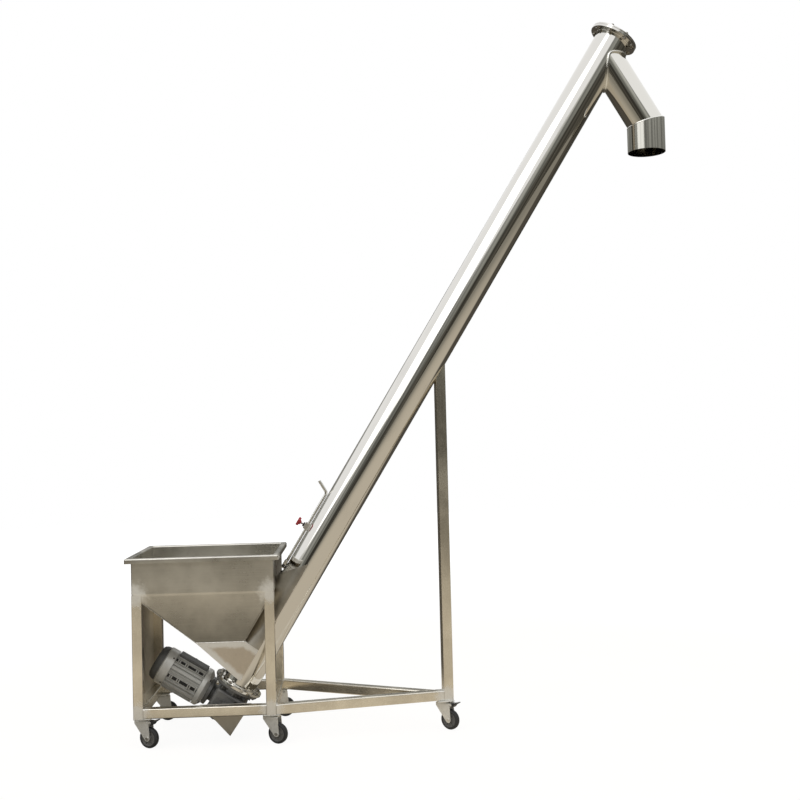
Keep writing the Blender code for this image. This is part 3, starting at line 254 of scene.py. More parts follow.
def plasticMaterial(name, colour, roughness, wear=0.25):
    material, place = startMaterial(name)
    grain = cloud(place, 900.0, 2.0, 0.5)
    rub = cloud(place, 60.0, 4.0, 0.65)
    base = blended(rise(rub, 0.50, 0.80) * wear, colour, [min(c * 1.6 + 0.06, 0.9) for c in colour])
    return endMaterial(material, place, {"Base Color": base, "Roughness": roughness + rise(rub, 0.4, 0.8) * 0.2},
                       grain, 0.0003, 0.25)


def zincMaterial(name, colour, roughness):
    # bright zinc plate: faint spangle and handling marks
    material, place = startMaterial(name)
    spangle = place.node("ShaderNodeTexVoronoi", {"feature": "F1"}, {"Vector": place, "Scale": 160.0}, 1)
    grey = spangle.node("ShaderNodeSeparateColor", None, {0: spangle})
    stain = cloud(place, 40.0, 4.0, 0.6)
    base = blended(grey * 0.35, colour, [c * 0.80 for c in colour])
    base = blended(rise(stain, 0.5, 0.8) * 0.45, base, (0.46, 0.43, 0.38))
    rough = roughness + grey * 0.08 + rise(stain, 0.45, 0.8) * 0.15
    return endMaterial(material, place, {"Base Color": base, "Metallic": 0.6, "Roughness": rough},
                       cloud(place, 300.0, 2.0), 0.0003, 0.2)


def bevelled(bm, edges, width, segments=2):
    bmesh.ops.bevel(bm, geom=list(edges), offset=width, offset_type="OFFSET", affect="EDGES",
                    segments=segments, profile=0.5, material=-1, clamp_overlap=True)
    return bm


def softened(bm, width, segments=2, angle=35.0, shortest=0.0):
    # bevels the sharp edges
    sharp = [edge for edge in bm.edges if edge.is_manifold and edge.calc_length() > shortest
             and edge.calc_face_angle(0.0) > math.radians(angle)]
    return bevelled(bm, sharp, width, segments)


def moved(bm, matrix):
    bmesh.ops.transform(bm, matrix=matrix, verts=bm.verts)
    return bm


def joined(bm, *parts, material=None):
    # takes other shapes into bm
    for part in parts:
        if material is not None:
            for face in part.faces:
                face.material_index = material
        mesh = bpy.data.meshes.new("part")
        part.to_mesh(mesh)
        part.free()
        bm.from_mesh(mesh)
        bpy.data.meshes.remove(mesh)
    return bm


def block(low, high, edge=0.0, segments=2):
    bm = bmesh.new()
    low, high = Vector(low), Vector(high)
    matrix = shift(*((low + high) / 2)) @ Matrix.Diagonal((*(high - low), 1.0))
    bmesh.ops.create_cube(bm, size=1.0, matrix=matrix)
    if edge:
        bevelled(bm, bm.edges, edge, segments)
    return bm


def turned(profile, steps=64, closed=False, edge=0.0, segments=2):
    # a radius and height profile spun once round z
    bm = bmesh.new()
    verts = [bm.verts.new((radius, 0.0, height)) for radius, height in profile]
    pairs = list(zip(verts, verts[1:])) + ([(verts[-1], verts[0])] if closed else [])
    edges = [bm.edges.new(pair) for pair in pairs]
    bmesh.ops.spin(bm, geom=verts + edges, cent=(0, 0, 0), axis=(0, 0, 1), dvec=(0, 0, 0),
                   angle=math.tau, steps=steps, use_merge=True)
    bmesh.ops.remove_doubles(bm, verts=bm.verts, dist=1e-6)
    bmesh.ops.recalc_face_normals(bm, faces=bm.faces)
    if edge:
        softened(bm, edge, segments)
    return bm


def rod(radius, low, high, sides=24, edge=0.0):
    bm = bmesh.new()
    bmesh.ops.create_cone(bm, cap_ends=True, segments=sides, radius1=radius, radius2=radius,
                          depth=high - low, matrix=shift(0, 0, (low + high) / 2))
    if edge:
        softened(bm, edge, 2, 60.0)
    return bm


def pulled(points, vector, edge=0.0, segments=2, shortest=0.0):
    # a flat outline pulled out along a vector
    bm = bmesh.new()
    face = bm.faces.new([bm.verts.new(point) for point in points])
    made = bmesh.ops.extrude_face_region(bm, geom=[face], use_keep_orig=True)
    bmesh.ops.translate(bm, vec=vector, verts=[v for v in made["geom"] if isinstance(v, bmesh.types.BMVert)])
    bmesh.ops.recalc_face_normals(bm, faces=bm.faces)
    if edge:
        softened(bm, edge, segments, 35.0, shortest)
    return bm


def arcPoints(radius, start, end, count):
    return [(radius * math.cos(start + (end - start) * i / count), radius * math.sin(start + (end - start) * i / count))
            for i in range(count + 1)]


def swept(points, radius, closed=False, ripple=0.0, resolution=2):
    # a round bar or a weld bead along points
    curve = bpy.data.curves.new("sweep", "CURVE")
    curve.dimensions = "3D"
    curve.bevel_depth = radius
    curve.bevel_resolution = resolution
    curve.use_fill_caps = not closed
    spline = curve.splines.new("POLY")
    spline.points.add(len(points) - 1)
    spline.use_cyclic_u = closed
    for i, point in enumerate(points):
        spline.points[i].co = (*point, 1.0)
        spline.points[i].radius = 1.0 + ripple * (math.sin(i * 2.1) + math.sin(i * 1.3)) / 2
    holder = bpy.data.objects.new("sweep", curve)
    mesh = bpy.data.meshes.new_from_object(holder)
    bm = bmesh.new()
    bm.from_mesh(mesh)
    bpy.data.objects.remove(holder)
    bpy.data.curves.remove(curve)
    bpy.data.meshes.remove(mesh)
    return bm


def ringPath(radius, height, count=96):
    return [Vector((radius * math.cos(math.tau * i / count), radius * math.sin(math.tau * i / count), height))
            for i in range(count)]


def between(start, end, step):
    start, end = Vector(start), Vector(end)
    count = max(2, round((end - start).length / step))
    return [start.lerp(end, i / count) for i in range(count + 1)]


def bead(points, radius, step=0.0035, closed=False):
    # a rippled bead along a chain of corners
    corners = [Vector(point) for point in points]
    if closed:
        corners.append(corners[0])
    path = []
    for start, end in zip(corners, corners[1:]):
        path += between(start, end, step)[:-1]
    if not closed:
        path.append(corners[-1])
    return swept(path, radius, closed, 0.22, 1)


def asObject(bm):
    mesh = bpy.data.meshes.new("temporary")
    bm.to_mesh(mesh)
    bm.free()
    holder = bpy.data.objects.new("temporary", mesh)
    bpy.context.scene.collection.objects.link(holder)
    return holder


def cutBy(bm, *tools):
    body = asObject(bm)
    holders = [asObject(tool) for tool in tools]
    for holder in holders:
        modifier = body.modifiers.new("cut", "BOOLEAN")
        modifier.operation = "DIFFERENCE"
        modifier.solver = "EXACT"
        modifier.object = holder
    graph = bpy.context.evaluated_depsgraph_get()
    mesh = bpy.data.meshes.new_from_object(body.evaluated_get(graph), depsgraph=graph)
    made = bmesh.new()
    made.from_mesh(mesh)
    for holder in [body, *holders]:
        old = holder.data
        bpy.data.objects.remove(holder)
        bpy.data.meshes.remove(old)
    bpy.data.meshes.remove(mesh)
    return made


def nodeCopy(name):
    # a merged copy of a CAD node's mesh
    bm = bmesh.new()
    bm.from_mesh(nodes[name].data)
    for face in bm.faces:
        face.material_index = 0
    bmesh.ops.remove_doubles(bm, verts=bm.verts, dist=1e-6)
    bmesh.ops.dissolve_limit(bm, angle_limit=math.radians(1.0), verts=bm.verts, edges=bm.edges)
    return bm


def hexBolt(place, head=0.0075, height=0.006, washer=0.010, thread=0.0, threadRadius=0.0045):
    # washer, six-sided head with a turned crown, and a thread end above it for a nut
    bm = rod(washer, 0.0, 0.0014, 24, 0.0003)
    crown = bmesh.new()
    bmesh.ops.create_cone(crown, cap_ends=True, segments=6, radius1=head, radius2=head, depth=height - 0.001,
                          matrix=shift(0, 0, 0.001 + (height - 0.001) / 2))
    top = [edge for edge in crown.edges if min(v.co.z for v in edge.verts) > height - 0.0001]
    bevelled(crown, top, 0.0009, 2)
    joined(bm, crown)
    if thread:
        joined(bm, turned([(0.0, height - 0.001)] +
                          [(threadRadius - (0.0004 if i % 2 else 0.0), height - 0.001 + i * 0.0006)
                           for i in range(int(thread / 0.0006))] +
                          [(0.0, height - 0.001 + int(thread / 0.0006) * 0.0006)], 16))
    return moved(bm, place)


def finishPiece(name, bm, body, materials, place=None, replaces=(), angle=34.0):
    bmesh.ops.remove_doubles(bm, verts=bm.verts, dist=1e-6)
    bmesh.ops.dissolve_degenerate(bm, dist=1e-6, edges=bm.edges)
    bmesh.ops.recalc_face_normals(bm, faces=bm.faces)
    if place is not None:
        moved(bm, place)
    mesh = bpy.data.meshes.new(name)
    bm.to_mesh(mesh)
    bm.free()
    for material in materials:
        mesh.materials.append(material)
    mesh.shade_smooth()
    mesh.set_sharp_from_angle(angle=math.radians(angle))
    piece = bpy.data.objects.new(name, mesh)
    bpy.context.scene.collection.objects.link(piece)
    # large faces stay flat beside their rounded edges
    modifier = piece.modifiers.new("even", "WEIGHTED_NORMAL")
    modifier.keep_sharp = True
    graph = bpy.context.evaluated_depsgraph_get()
    piece.data = bpy.data.meshes.new_from_object(piece.evaluated_get(graph), preserve_all_data_layers=True,
                                                 depsgraph=graph)
    piece.modifiers.clear()
    bpy.data.meshes.remove(mesh)
    piece.data.name = name
    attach(piece, body)
    if replaces:
        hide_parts(*replaces)
    return piece


def shopPoint(x, y, z):
    return shop @ Vector((x, y, z))


# joint points of the frame, which the ground patches sit round
frameSize = {"width": 0.568, "depth": 0.478, "tube": 0.040, "railMiddle": 0.125, "postTop": 0.590, "legX": 1.268}
width, depth, level = frameSize["width"], frameSize["depth"], frameSize["railMiddle"]
lowCorners = [shopPoint(x, y, level) for x in (0.02, width - 0.02) for y in (0.0, depth)]
postTops = [shopPoint(x, y, frameSize["postTop"]) for y in (0.0, depth) for x in (0.012, width - 0.012)]
legFoot = shopPoint(frameSize["legX"] - 0.006, 0.140, level)

frameColour = (0.88, 0.82, 0.71)
uprightSteel = brushedSteel("uprightSteel", frameColour, 0.20, (180.0, 180.0, 4.0),
                            lowCorners + postTops + [legFoot], 0.055)
railSteel = brushedSteel("railSteel", frameColour, 0.20, (4.0, 180.0, 180.0), lowCorners + [legFoot], 0.060)
crossSteel = brushedSteel("crossSteel", frameColour, 0.22, (180.0, 4.0, 180.0), lowCorners, 0.055)
hopperSteel = brushedSteel("hopperSteel", (0.64, 0.62, 0.565), 0.28, (5.0, 240.0, 240.0), postTops, 0.070)
plateSteel = brushedSteel("plateSteel", (0.60, 0.565, 0.50), 0.34, (200.0, 200.0, 6.0))
panelSteel = brushedSteel("panelSteel", (0.70, 0.645, 0.545), 0.44, (200.0, 200.0, 6.0))
coverSteel = brushedSteel("coverSteel", (0.50, 0.465, 0.40), 0.36, (90.0, 90.0, 90.0), smudge=0.28)
flangeSteel = polishedSteel("flangeSteel", (0.72, 0.705, 0.67), 0.12, tubePlace, 0.15)
boltSteel = brushedSteel("boltSteel", (0.72, 0.71, 0.68), 0.26, (300.0, 300.0, 300.0))
weldSteel = brushedSteel("weldSteel", (0.80, 0.78, 0.73), 0.34, (240.0, 240.0, 240.0), smudge=0.25)
flangeBolt = brushedSteel("flangeBolt", (0.40, 0.38, 0.34), 0.30, (300.0, 300.0, 300.0))
augerSteel = brushedSteel("augerSteel", (0.60, 0.59, 0.56), 0.30, (60.0, 60.0, 60.0))
tubeSteel = polishedSteel("tubeSteel", (0.74, 0.725, 0.69), 0.055, tubePlace)
zincPlate = zincMaterial("zincPlate", (0.90, 0.90, 0.87), 0.34)
motorPaint = castMaterial("motorPaint", (0.56, 0.56, 0.535), 0.42, 0.10)
motorBand = castMaterial("motorBand", (0.72, 0.72, 0.69), 0.36, 0.30, dustiness=0.2)
motorDark = castMaterial("motorDark", (0.12, 0.122, 0.12), 0.5, 0.1, (0.22, 0.21, 0.19), 0.25)
gearPaint = castMaterial("gearPaint", (0.19, 0.19, 0.185), 0.38, 0.35, (0.30, 0.29, 0.26), 0.30)
tyreRubber = plasticMaterial("tyreRubber", (0.030, 0.030, 0.031), 0.62, 0.35)
wheelDisc = plasticMaterial("wheelDisc", (0.145, 0.143, 0.138), 0.45, 0.35)
blackPlastic = plasticMaterial("blackPlastic", (0.022, 0.022, 0.023), 0.42)
redPlastic = plasticMaterial("redPlastic", (0.42, 0.035, 0.045), 0.34, 0.15)
darkSteel = castMaterial("darkSteel", (0.075, 0.073, 0.068), 0.38, 0.8, (0.12, 0.11, 0.10), 0.3)
bronzeGear = castMaterial("bronzeGear", (0.50, 0.34, 0.15), 0.32, 1.0, (0.30, 0.20, 0.10), 0.3)
sealRubber = plasticMaterial("sealRubber", (0.020, 0.020, 0.022), 0.7, 0.1)
print("materials made")


# square tubes: CAD copies with their outer edges rounded
squareTubes = {"corner": 0.0045, "segments": 4,
               "members": {"front_left_post": uprightSteel, "rear_left_post": uprightSteel,
                           "front_right_post": uprightSteel, "rear_right_post": uprightSteel,
                           "support_leg": uprightSteel, "front_rail": railSteel, "rear_rail": railSteel,
                           "front_long_rail": railSteel, "rear_long_rail": railSteel,
                           "left_rail": crossSteel, "right_rail": crossSteel}}
for name, material in squareTubes["members"].items():
    bm = nodeCopy(name)
    outer = [edge for edge in bm.edges if edge.calc_length() > 0.15 and edge.is_manifold and edge.is_convex
             and edge.calc_face_angle(0.0) > 1.2]
    bevelled(bm, outer, squareTubes["corner"], squareTubes["segments"])
    finishPiece(name + "_tube", bm, "machine", [material], None, (name,), 50.0)

# beads where the square tubes meet
beads = {"radius": 0.0018, "off": 0.0002}
welds = bmesh.new()


def squareLoop(centre, across, up, half=0.0196, cut=0.004):
    centre, across, up = Vector(centre), Vector(across), Vector(up)
    turns = ((1, 1, 0, -1), (1, 1, -1, 0), (-1, 1, 1, 0), (-1, 1, 0, -1),
             (-1, -1, 0, 1), (-1, -1, 1, 0), (1, -1, -1, 0), (1, -1, 0, 1))
    return [centre + across * (half * a + cut * c) + up * (half * b + cut * d) for a, b, c, d in turns]


half, off = frameSize["tube"] / 2, frameSize["tube"] + beads["off"]
loops = [(shopPoint(x, y, level), (0, 1, 0)) for y in (half, depth - half) for x in (off, width - off)]
loops += [(shopPoint(x, y, level), (1, 0, 0)) for x in (half, width - half) for y in (off, depth - off)]
loops += [(shopPoint(width + 0.0004, y, level), (0, 1, 0)) for y in (half, depth - half)]
longWay = Vector((0.980581, 0.196116, 0.0))
loops.append((shopPoint(frameSize["legX"], 0.160, level) - longWay * 0.0202, (-longWay.y, longWay.x, 0.0)))
for centre, across in loops:
    joined(welds, bead(squareLoop(centre, across, (0, 0, 1)), beads["radius"], closed=True))
finishPiece("frame_welds", welds, "machine", [weldSteel])
print("frame tubes made")


# hopper: folded from one skin, then given its sheet
hopper = {"sheet": 0.002, "outlet": (0.240, 0.438192, 0.0827, 0.2373, 0.385), "fold": 0.596, "rim": 0.744,
          "overhang": 0.022, "lip": 0.020, "cornerRadius": 0.006, "slotRadius": 0.0883}


def rectangleLoop(bm, x0, x1, y0, y1, z, grow):
    corners = [(x0 - grow, y0 - grow), (x1 + grow, y0 - grow), (x1 + grow, y1 + grow), (x0 - grow, y1 + grow)]
    verts = [bm.verts.new((x, y, z)) for x, y in corners]
    return [bm.edges.new((verts[i], verts[(i + 1) % 4])) for i in range(4)]


bm = bmesh.new()
x0, x1, y0, y1, low = hopper["outlet"]
wide = (0.0, width, 0.0, depth)
sheet = hopper["sheet"]
loops = [rectangleLoop(bm, x0, x1, y0, y1, low, -sheet), rectangleLoop(bm, *wide, hopper["fold"], -sheet),
         rectangleLoop(bm, *wide, hopper["rim"], -sheet),
         rectangleLoop(bm, *wide, hopper["rim"], hopper["overhang"]),
         rectangleLoop(bm, *wide, hopper["rim"] - hopper["lip"], hopper["overhang"])]
for first, second in zip(loops, loops[1:]):
    bmesh.ops.bridge_loops(bm, edges=first + second)
bmesh.ops.recalc_face_normals(bm, faces=bm.faces)
softened(bm, hopper["cornerRadius"], 4, 15.0)
bmesh.ops.remove_doubles(bm, verts=bm.verts, dist=1e-5)
# the sheet grows away from the inside
inward = bm.faces[:]
probe = max(inward, key=lambda face: face.calc_area())
middle = Vector((width / 2, depth / 2, 0.65))
facesIn = probe.normal.dot(middle - probe.calc_center_median()) > 0
bmesh.ops.solidify(bm, geom=inward, thickness=sheet if facesIn else -sheet)
moved(bm, shop)
slotTool = moved(rod(hopper["slotRadius"], 0.035, 0.696, 96), tubePlace)
bm = cutBy(bm, slotTool)
finishPiece("hopper_sheet", bm, "machine", [hopperSteel], None, ("hopper_shell",), 40.0)

# seam beads down the sloping corners
bm = bmesh.new()
for ax, bx in ((x0, sheet), (x1, width - sheet)):
    for ay, by in ((y0, sheet), (y1, depth - sheet)):
        joined(bm, bead([shopPoint(ax, ay, low + 0.0005), shopPoint(bx, by, hopper["fold"] - 0.0005)], 0.0012))
finishPiece("hopper_seams", bm, "machine", [weldSteel])

# feed boot: CAD copy, its folded edges rounded, with bright ground bands beside them
bootLines = []
bootOutline = [(0.240, 0.3847), (0.4061, 0.2330), (0.4188, 0.2251), (0.49549, 0.34973), (0.4381, 0.3847)]
for (ax, az), (bx, bz) in zip(bootOutline, bootOutline[1:] + bootOutline[:1]):
    a, b = shopPoint(ax, 0.0, az), shopPoint(bx, 0.0, bz)
    normal = Vector((-(b.z - a.z), 0.0, b.x - a.x)).normalized()
    bootLines.append((normal, normal.dot(a)))
bootSteel = brushedSteel("bootSteel", (0.66, 0.60, 0.52), 0.30, (120.0, 120.0, 120.0), smudge=0.12,
                         lines=[bootLines[0], bootLines[3], bootLines[4]], lineReach=0.030)
bm = nodeCopy("feed_boot")
folds = [edge for edge in bm.edges if edge.is_manifold and edge.is_convex and edge.calc_length() > 0.05
         and edge.calc_face_angle(0.0) > 0.6]
bevelled(bm, folds, 0.0015, 3)
finishPiece("boot_sheet", bm, "machine", [bootSteel], None, ("feed_boot",), 40.0)
bm = bmesh.new()
front, back, seamLevel = y0 + 0.0003, y1 - 0.0003, low - 0.0001
for y in (front, back):
    joined(bm, bead([shopPoint(0.4381, y, seamLevel), shopPoint(x0, y, seamLevel)], 0.0016))
joined(bm, bead([shopPoint(x0, front, seamLevel), shopPoint(x0, back, seamLevel)], 0.0014))
finishPiece("boot_seams", bm, "machine", [weldSteel])
print("hopper and boot made")


# side panel and drive plate
bm = nodeCopy("side_panel")
softened(bm, 0.0006, 2)
finishPiece("side_sheet", bm, "machine", [panelSteel], None, ("side_panel",))
bm = nodeCopy("drive_plate")
softened(bm, 0.0009, 2)
finishPiece("drive_sheet", bm, "machine", [plateSteel], None, ("drive_plate",))
print("panel and plate made")


# conveyor tube
tube = {"radius": 0.075, "wall": 0.0025, "length": 3.151, "sides": 128,
        "inletLow": (-0.095, -0.058, 0.055), "inletHigh": (-0.020, 0.058, 0.160),
        "stations": (0.0, 0.045, 0.170, 0.9, 1.6, 2.3, 2.95, 3.0, 3.13, 3.151)}
outside = [(tube["radius"], z) for z in tube["stations"]]
inside = [(tube["radius"] - tube["wall"], z) for z in reversed(tube["stations"])]
bm = moved(turned(outside + inside, tube["sides"], True), tubePlace)
branch = {"radius": 0.0735, "wall": 0.002, "length": 0.3405, "start": 3.0621, "down": 59.5,
          "outletRadius": 0.079, "drop": 0.123, "sides": 96}
branchPoint = tubePlace @ Vector((0, 0, branch["start"]))
branchPlace = shift(*branchPoint) @ spun(math.radians(90 + branch["down"]), "Y")
inletTool = moved(block(tube["inletLow"], tube["inletHigh"]), tubePlace)
branchTool = moved(rod(branch["radius"] - 0.007, 0.0, branch["length"], 64), branchPlace)
bm = cutBy(bm, inletTool, branchTool)
finishPiece("tube_shell", bm, "machine", [tubeSteel], None, ("conveyor_tube",))


# flanges, cover and their bolts
flange = {"inner": 0.0753, "outer": 0.103, "thick": 0.010, "coverThick": 0.006, "boltCircle": 0.090, "bolts": 8}


def boltRing(level, turnOver, thread, count=flange["bolts"], circle=flange["boltCircle"], **sizes):
    bm = bmesh.new()
    for i in range(count):
        angle = math.tau * (i + 0.5) / count
        place = shift(circle * math.cos(angle), circle * math.sin(angle), level) @ spun(0.4 * i)
        joined(bm, hexBolt(place @ flipped if turnOver else place, thread=thread, **sizes))
    return bm


def flangeRing(low):
    high = low + flange["thick"]
    return turned([(flange["inner"], low), (flange["outer"], low), (flange["outer"], high),
                   (flange["inner"], high)], 96, True, 0.0008)


bm = flangeRing(0.0)
joined(bm, boltRing(flange["thick"], False, 0.004), material=1)
joined(bm, swept(ringPath(0.0765, 0.0105), 0.0022, True, 0.2, 1), material=2)
finishPiece("lower_flange_ring", bm, "machine", [flangeSteel, flangeBolt, weldSteel], tubePlace,
            ("lower_flange",))

topFace = tube["length"]
bm = flangeRing(topFace - flange["thick"])
joined(bm, boltRing(topFace - flange["thick"], True, 0.004), material=1)
joined(bm, swept(ringPath(0.0762, topFace - flange["thick"] - 0.0004), 0.0018, True, 0.2, 1), material=2)
finishPiece("upper_flange_ring", bm, "machine", [flangeSteel, flangeBolt, weldSteel], tubePlace,
            ("upper_flange",))

coverLow = topFace + 0.0003
coverTop = coverLow + flange["coverThick"]
bm = turned([(0.0, coverLow), (flange["outer"], coverLow), (flange["outer"], coverTop), (0.0, coverTop)],
            96, False, 0.0008)
joined(bm, boltRing(coverTop, False, 0.0049), material=1)
joined(bm, turned([(0.0, coverTop), (0.050, coverTop), (0.050, coverTop + 0.003), (0.030, coverTop + 0.0035),
                   (0.026, coverTop + 0.007), (0.0, coverTop + 0.007)], 64, False, 0.0006))
joined(bm, boltRing(coverTop + 0.003, False, 0.0, 4, 0.039, head=0.0055, height=0.0045, washer=0.0075), material=2)
fitting = rod(0.0035, coverTop + 0.006, coverTop + 0.019, 16, 0.0004)
joined(fitting, moved(rod(0.0032, -0.013, 0.013, 16, 0.0006),
                      shift(0, 0, coverTop + 0.018) @ spun(quarter, "X")))
joined(fitting, rod(0.0062, coverTop + 0.006, coverTop + 0.010, 6, 0.0004))
joined(bm, moved(fitting, shift(0.012, -0.004, 0.0)), material=2)
finishPiece("top_cover_disc", bm, "machine", [flangeSteel, flangeBolt, darkSteel], tubePlace,
            ("top_cover",))
print("tube and flanges made")


# discharge spout
down = Vector((0, 0, -1))
branchWay = (branchPlace.to_3x3() @ Vector((0, 0, 1))).normalized()
mitrePoint = branchPoint + branchWay * branch["length"]
mitreNormal = (branchWay + down).normalized()


def pipe(radius, wall, low, high, sides):
    stations = [low + (high - low) * i / 4 for i in range(5)]
    return turned([(radius, z) for z in stations] + [(radius - wall, z) for z in reversed(stations)], sides, True)


def sliced(bm, point, normal):
    # cuts off the side that the normal points to, and closes the wall again
    geometry = bm.verts[:] + bm.edges[:] + bm.faces[:]
    bmesh.ops.bisect_plane(bm, geom=geometry, plane_co=point, plane_no=normal, clear_outer=True, dist=1e-7)
    rim = [edge for edge in bm.edges if edge.is_boundary]
    bmesh.ops.bridge_loops(bm, edges=rim)
    return bm


def tubeCutter(radius, low, high):
    return moved(rod(radius, low, high, 192), tubePlace)


branchPipe = moved(pipe(branch["radius"], branch["wall"], 0.0, branch["length"] + 0.08, branch["sides"]), branchPlace)
sliced(branchPipe, mitrePoint, mitreNormal)
branchPipe = cutBy(branchPipe, tubeCutter(0.0752, tube["length"] - 0.5, tube["length"] + 0.05))
spoutSteel = polishedSteel("spoutSteel", (0.75, 0.735, 0.69), 0.06, branchPlace, 0.30)
finishPiece("branch_pipe", branchPipe, "machine", [spoutSteel], None, ("discharge_spout",))
outletPlace = shift(*mitrePoint) @ flipped
outletPipe = moved(pipe(branch["outletRadius"], branch["wall"], -0.08, branch["drop"], branch["sides"]), outletPlace)
sliced(outletPipe, mitrePoint, -mitreNormal)
outletSteel = polishedSteel("outletSteel", (0.52, 0.51, 0.475), 0.10, shift(*mitrePoint), 0.9)
finishPiece("outlet_pipe", outletPipe, "machine", [outletSteel])


def ringOn(centre, way, radius, point, normal, count=96):
    # the outline of a pipe where a plane cuts it
    side = Vector((0, 1, 0))
    over = way.cross(side)
    made = []
    for i in range(count):
        turn = math.tau * i / count
        start = centre + side * radius * math.cos(turn) + over * radius * math.sin(turn)
        made.append(start + way * ((point - start).dot(normal) / way.dot(normal)))
    return made


def saddleRing(radius, tubeRadius, count=120):
    # the outline of the branch on the tube
    made = []
    local = tubePlace.inverted()
    way = (local.to_3x3() @ branchWay).normalized()
    start = local @ branchPoint
    side = Vector((0, 1, 0))
    over = way.cross(side)
    for i in range(count):
        turn = math.tau * i / count
        p = start + side * radius * math.cos(turn) + over * radius * math.sin(turn)
        a = way.x ** 2 + way.y ** 2
        b = p.x * way.x + p.y * way.y
        c = p.x ** 2 + p.y ** 2 - tubeRadius ** 2
        made.append(tubePlace @ (p + way * ((-b + math.sqrt(max(b * b - a * c, 0.0))) / a)))
    return made


bm = swept(ringOn(mitrePoint, branchWay, branch["radius"] + 0.0008, mitrePoint - mitreNormal * 0.001, mitreNormal),
           0.0050, True, 0.05, 4)
joined(bm, swept(saddleRing(branch["radius"] + 0.0035, tube["radius"] + 0.0035), 0.0055, True, 0.03, 4))
# a flat ring closes the step between the two pipes
step = bmesh.new()
outerRing = [step.verts.new(p) for p in ringOn(mitrePoint, down, branch["outletRadius"] - 0.0004,
                                              mitrePoint + mitreNormal * 0.0008, mitreNormal)]
innerRing = [step.verts.new(p) for p in ringOn(mitrePoint, branchWay, branch["radius"] - 0.0010,
                                              mitrePoint + mitreNormal * 0.0008, mitreNormal)]
edges = [step.edges.new((ring[i], ring[(i + 1) % 96])) for ring in (outerRing, innerRing) for i in range(96)]
bmesh.ops.bridge_loops(step, edges=edges)
bmesh.ops.recalc_face_normals(step, faces=step.faces)
bmesh.ops.solidify(step, geom=step.faces[:], thickness=0.0015)
joined(bm, step)
spoutWeld = brushedSteel("spoutWeld", (0.88, 0.87, 0.82), 0.14, (120.0, 120.0, 120.0), smudge=0.12)
finishPiece("spout_welds", bm, "machine", [spoutWeld])
print("spout made")


# gate cover, gate rod, guide and knob
gateCover = {"radius": 0.088, "sheet": 0.0015, "low": 0.1816, "high": 0.596, "notch": 0.110, "onTube": 0.0753}
lipAngle = gateCover["sheet"] / gateCover["radius"]
inner = gateCover["radius"] - gateCover["sheet"]
outline = arcPoints(gateCover["radius"], -quarter, quarter, 64)
outline += arcPoints(gateCover["onTube"], quarter, quarter - lipAngle, 1)
outline += arcPoints(inner, quarter - lipAngle, -quarter + lipAngle, 64)
outline += arcPoints(gateCover["onTube"], -quarter + lipAngle, -quarter, 1)
bm = pulled([(-x, y, gateCover["low"]) for x, y in outline], (0, 0, gateCover["high"] - gateCover["low"]))
deep = gateCover["radius"] * 1.5
rake = gateCover["notch"] * deep / gateCover["radius"]
wedge = pulled([(0.01, -deep, gateCover["high"]), (-deep, -deep, gateCover["high"] - rake),
                (-deep, -deep, gateCover["high"] + 0.1), (0.01, -deep, gateCover["high"] + 0.1)], (0, 2 * deep, 0))
bm = cutBy(bm, wedge)
for y in (-1, 1):
    for height in (0.22, 0.30, 0.38, 0.46, 0.54):
        joined(bm, bead([(-0.0006, y * 0.0880, height), (-0.0006, y * 0.0880, height + 0.022)], 0.0016), material=1)
finishPiece("cover_sheet", bm, "machine", [coverSteel, weldSteel], tubePlace, ("gate_cover",))

rodShape = {"place": 0.083, "radius": 0.006, "low": 0.530, "bendStart": 0.858, "bend": 0.014,
            "angle": 62.0, "handle": 0.050}
path = between((-rodShape["place"], 0, rodShape["low"] - 0.004), (-rodShape["place"], 0, rodShape["bendStart"]), 0.05)
for i in range(1, 13):
    angle = math.radians(rodShape["angle"]) * i / 12
    path.append(Vector((-rodShape["place"] - rodShape["bend"] * (1 - math.cos(angle)), 0,
                        rodShape["bendStart"] + rodShape["bend"] * math.sin(angle))))
last = math.radians(rodShape["angle"])
path.append(path[-1] + Vector((-math.sin(last), 0, math.cos(last))) * rodShape["handle"])
bm = swept(path, rodShape["radius"], False, 0.0, 6)
joined(bm, block((-0.093, -0.012, 0.506), (-0.0785, 0.012, 0.542), 0.0015))
joined(bm, hexBolt(shift(-0.0860, -0.012, 0.516) @ spun(quarter, "X"),
                   0.0055, 0.005, 0.0070), material=1)
joined(bm, hexBolt(shift(-0.0860, 0.012, 0.516) @ spun(-quarter, "X"),
                   0.0055, 0.004, 0.0070, 0.003, 0.003), material=1)
rodSteel = polishedSteel("rodSteel", (0.70, 0.69, 0.65), 0.20, tubePlace, 0.10)
finishPiece("rod_bar", bm, "gate", [rodSteel, darkSteel], tubePlace, ("gate_rod",))

guide = {"half": 0.014, "place": 0.705, "top": 0.096}
bm = nodeCopy("rod_guide")
edges = [edge for edge in bm.edges if edge.is_manifold and edge.is_convex and edge.calc_length() > 0.02
         and edge.calc_face_angle(0.0) > 1.3]
bevelled(bm, edges, 0.0012, 2)
moved(bm, tubePlace.inverted())
upright = shift(-guide["top"], 0.0, guide["place"]) @ spun(-quarter, "Y")
nut = turned([(0.0046, 0.0002), (0.0098, 0.0002), (0.0098, 0.0068), (0.0046, 0.0068)], 6, True, 0.0008)
joined(bm, moved(nut, upright), material=1)
joined(bm, swept([Vector((-0.0772 + 0.0022 * abs(y) / 0.014, y, z)) for y, z in
                  [(-0.0145, 0.690), (0.0145, 0.690), (0.0145, 0.720), (-0.0145, 0.720)]], 0.0018, True, 0.1, 1),
       material=2)
finishPiece("guide_block", bm, "machine", [boltSteel, darkSteel, weldSteel], tubePlace, ("rod_guide",))

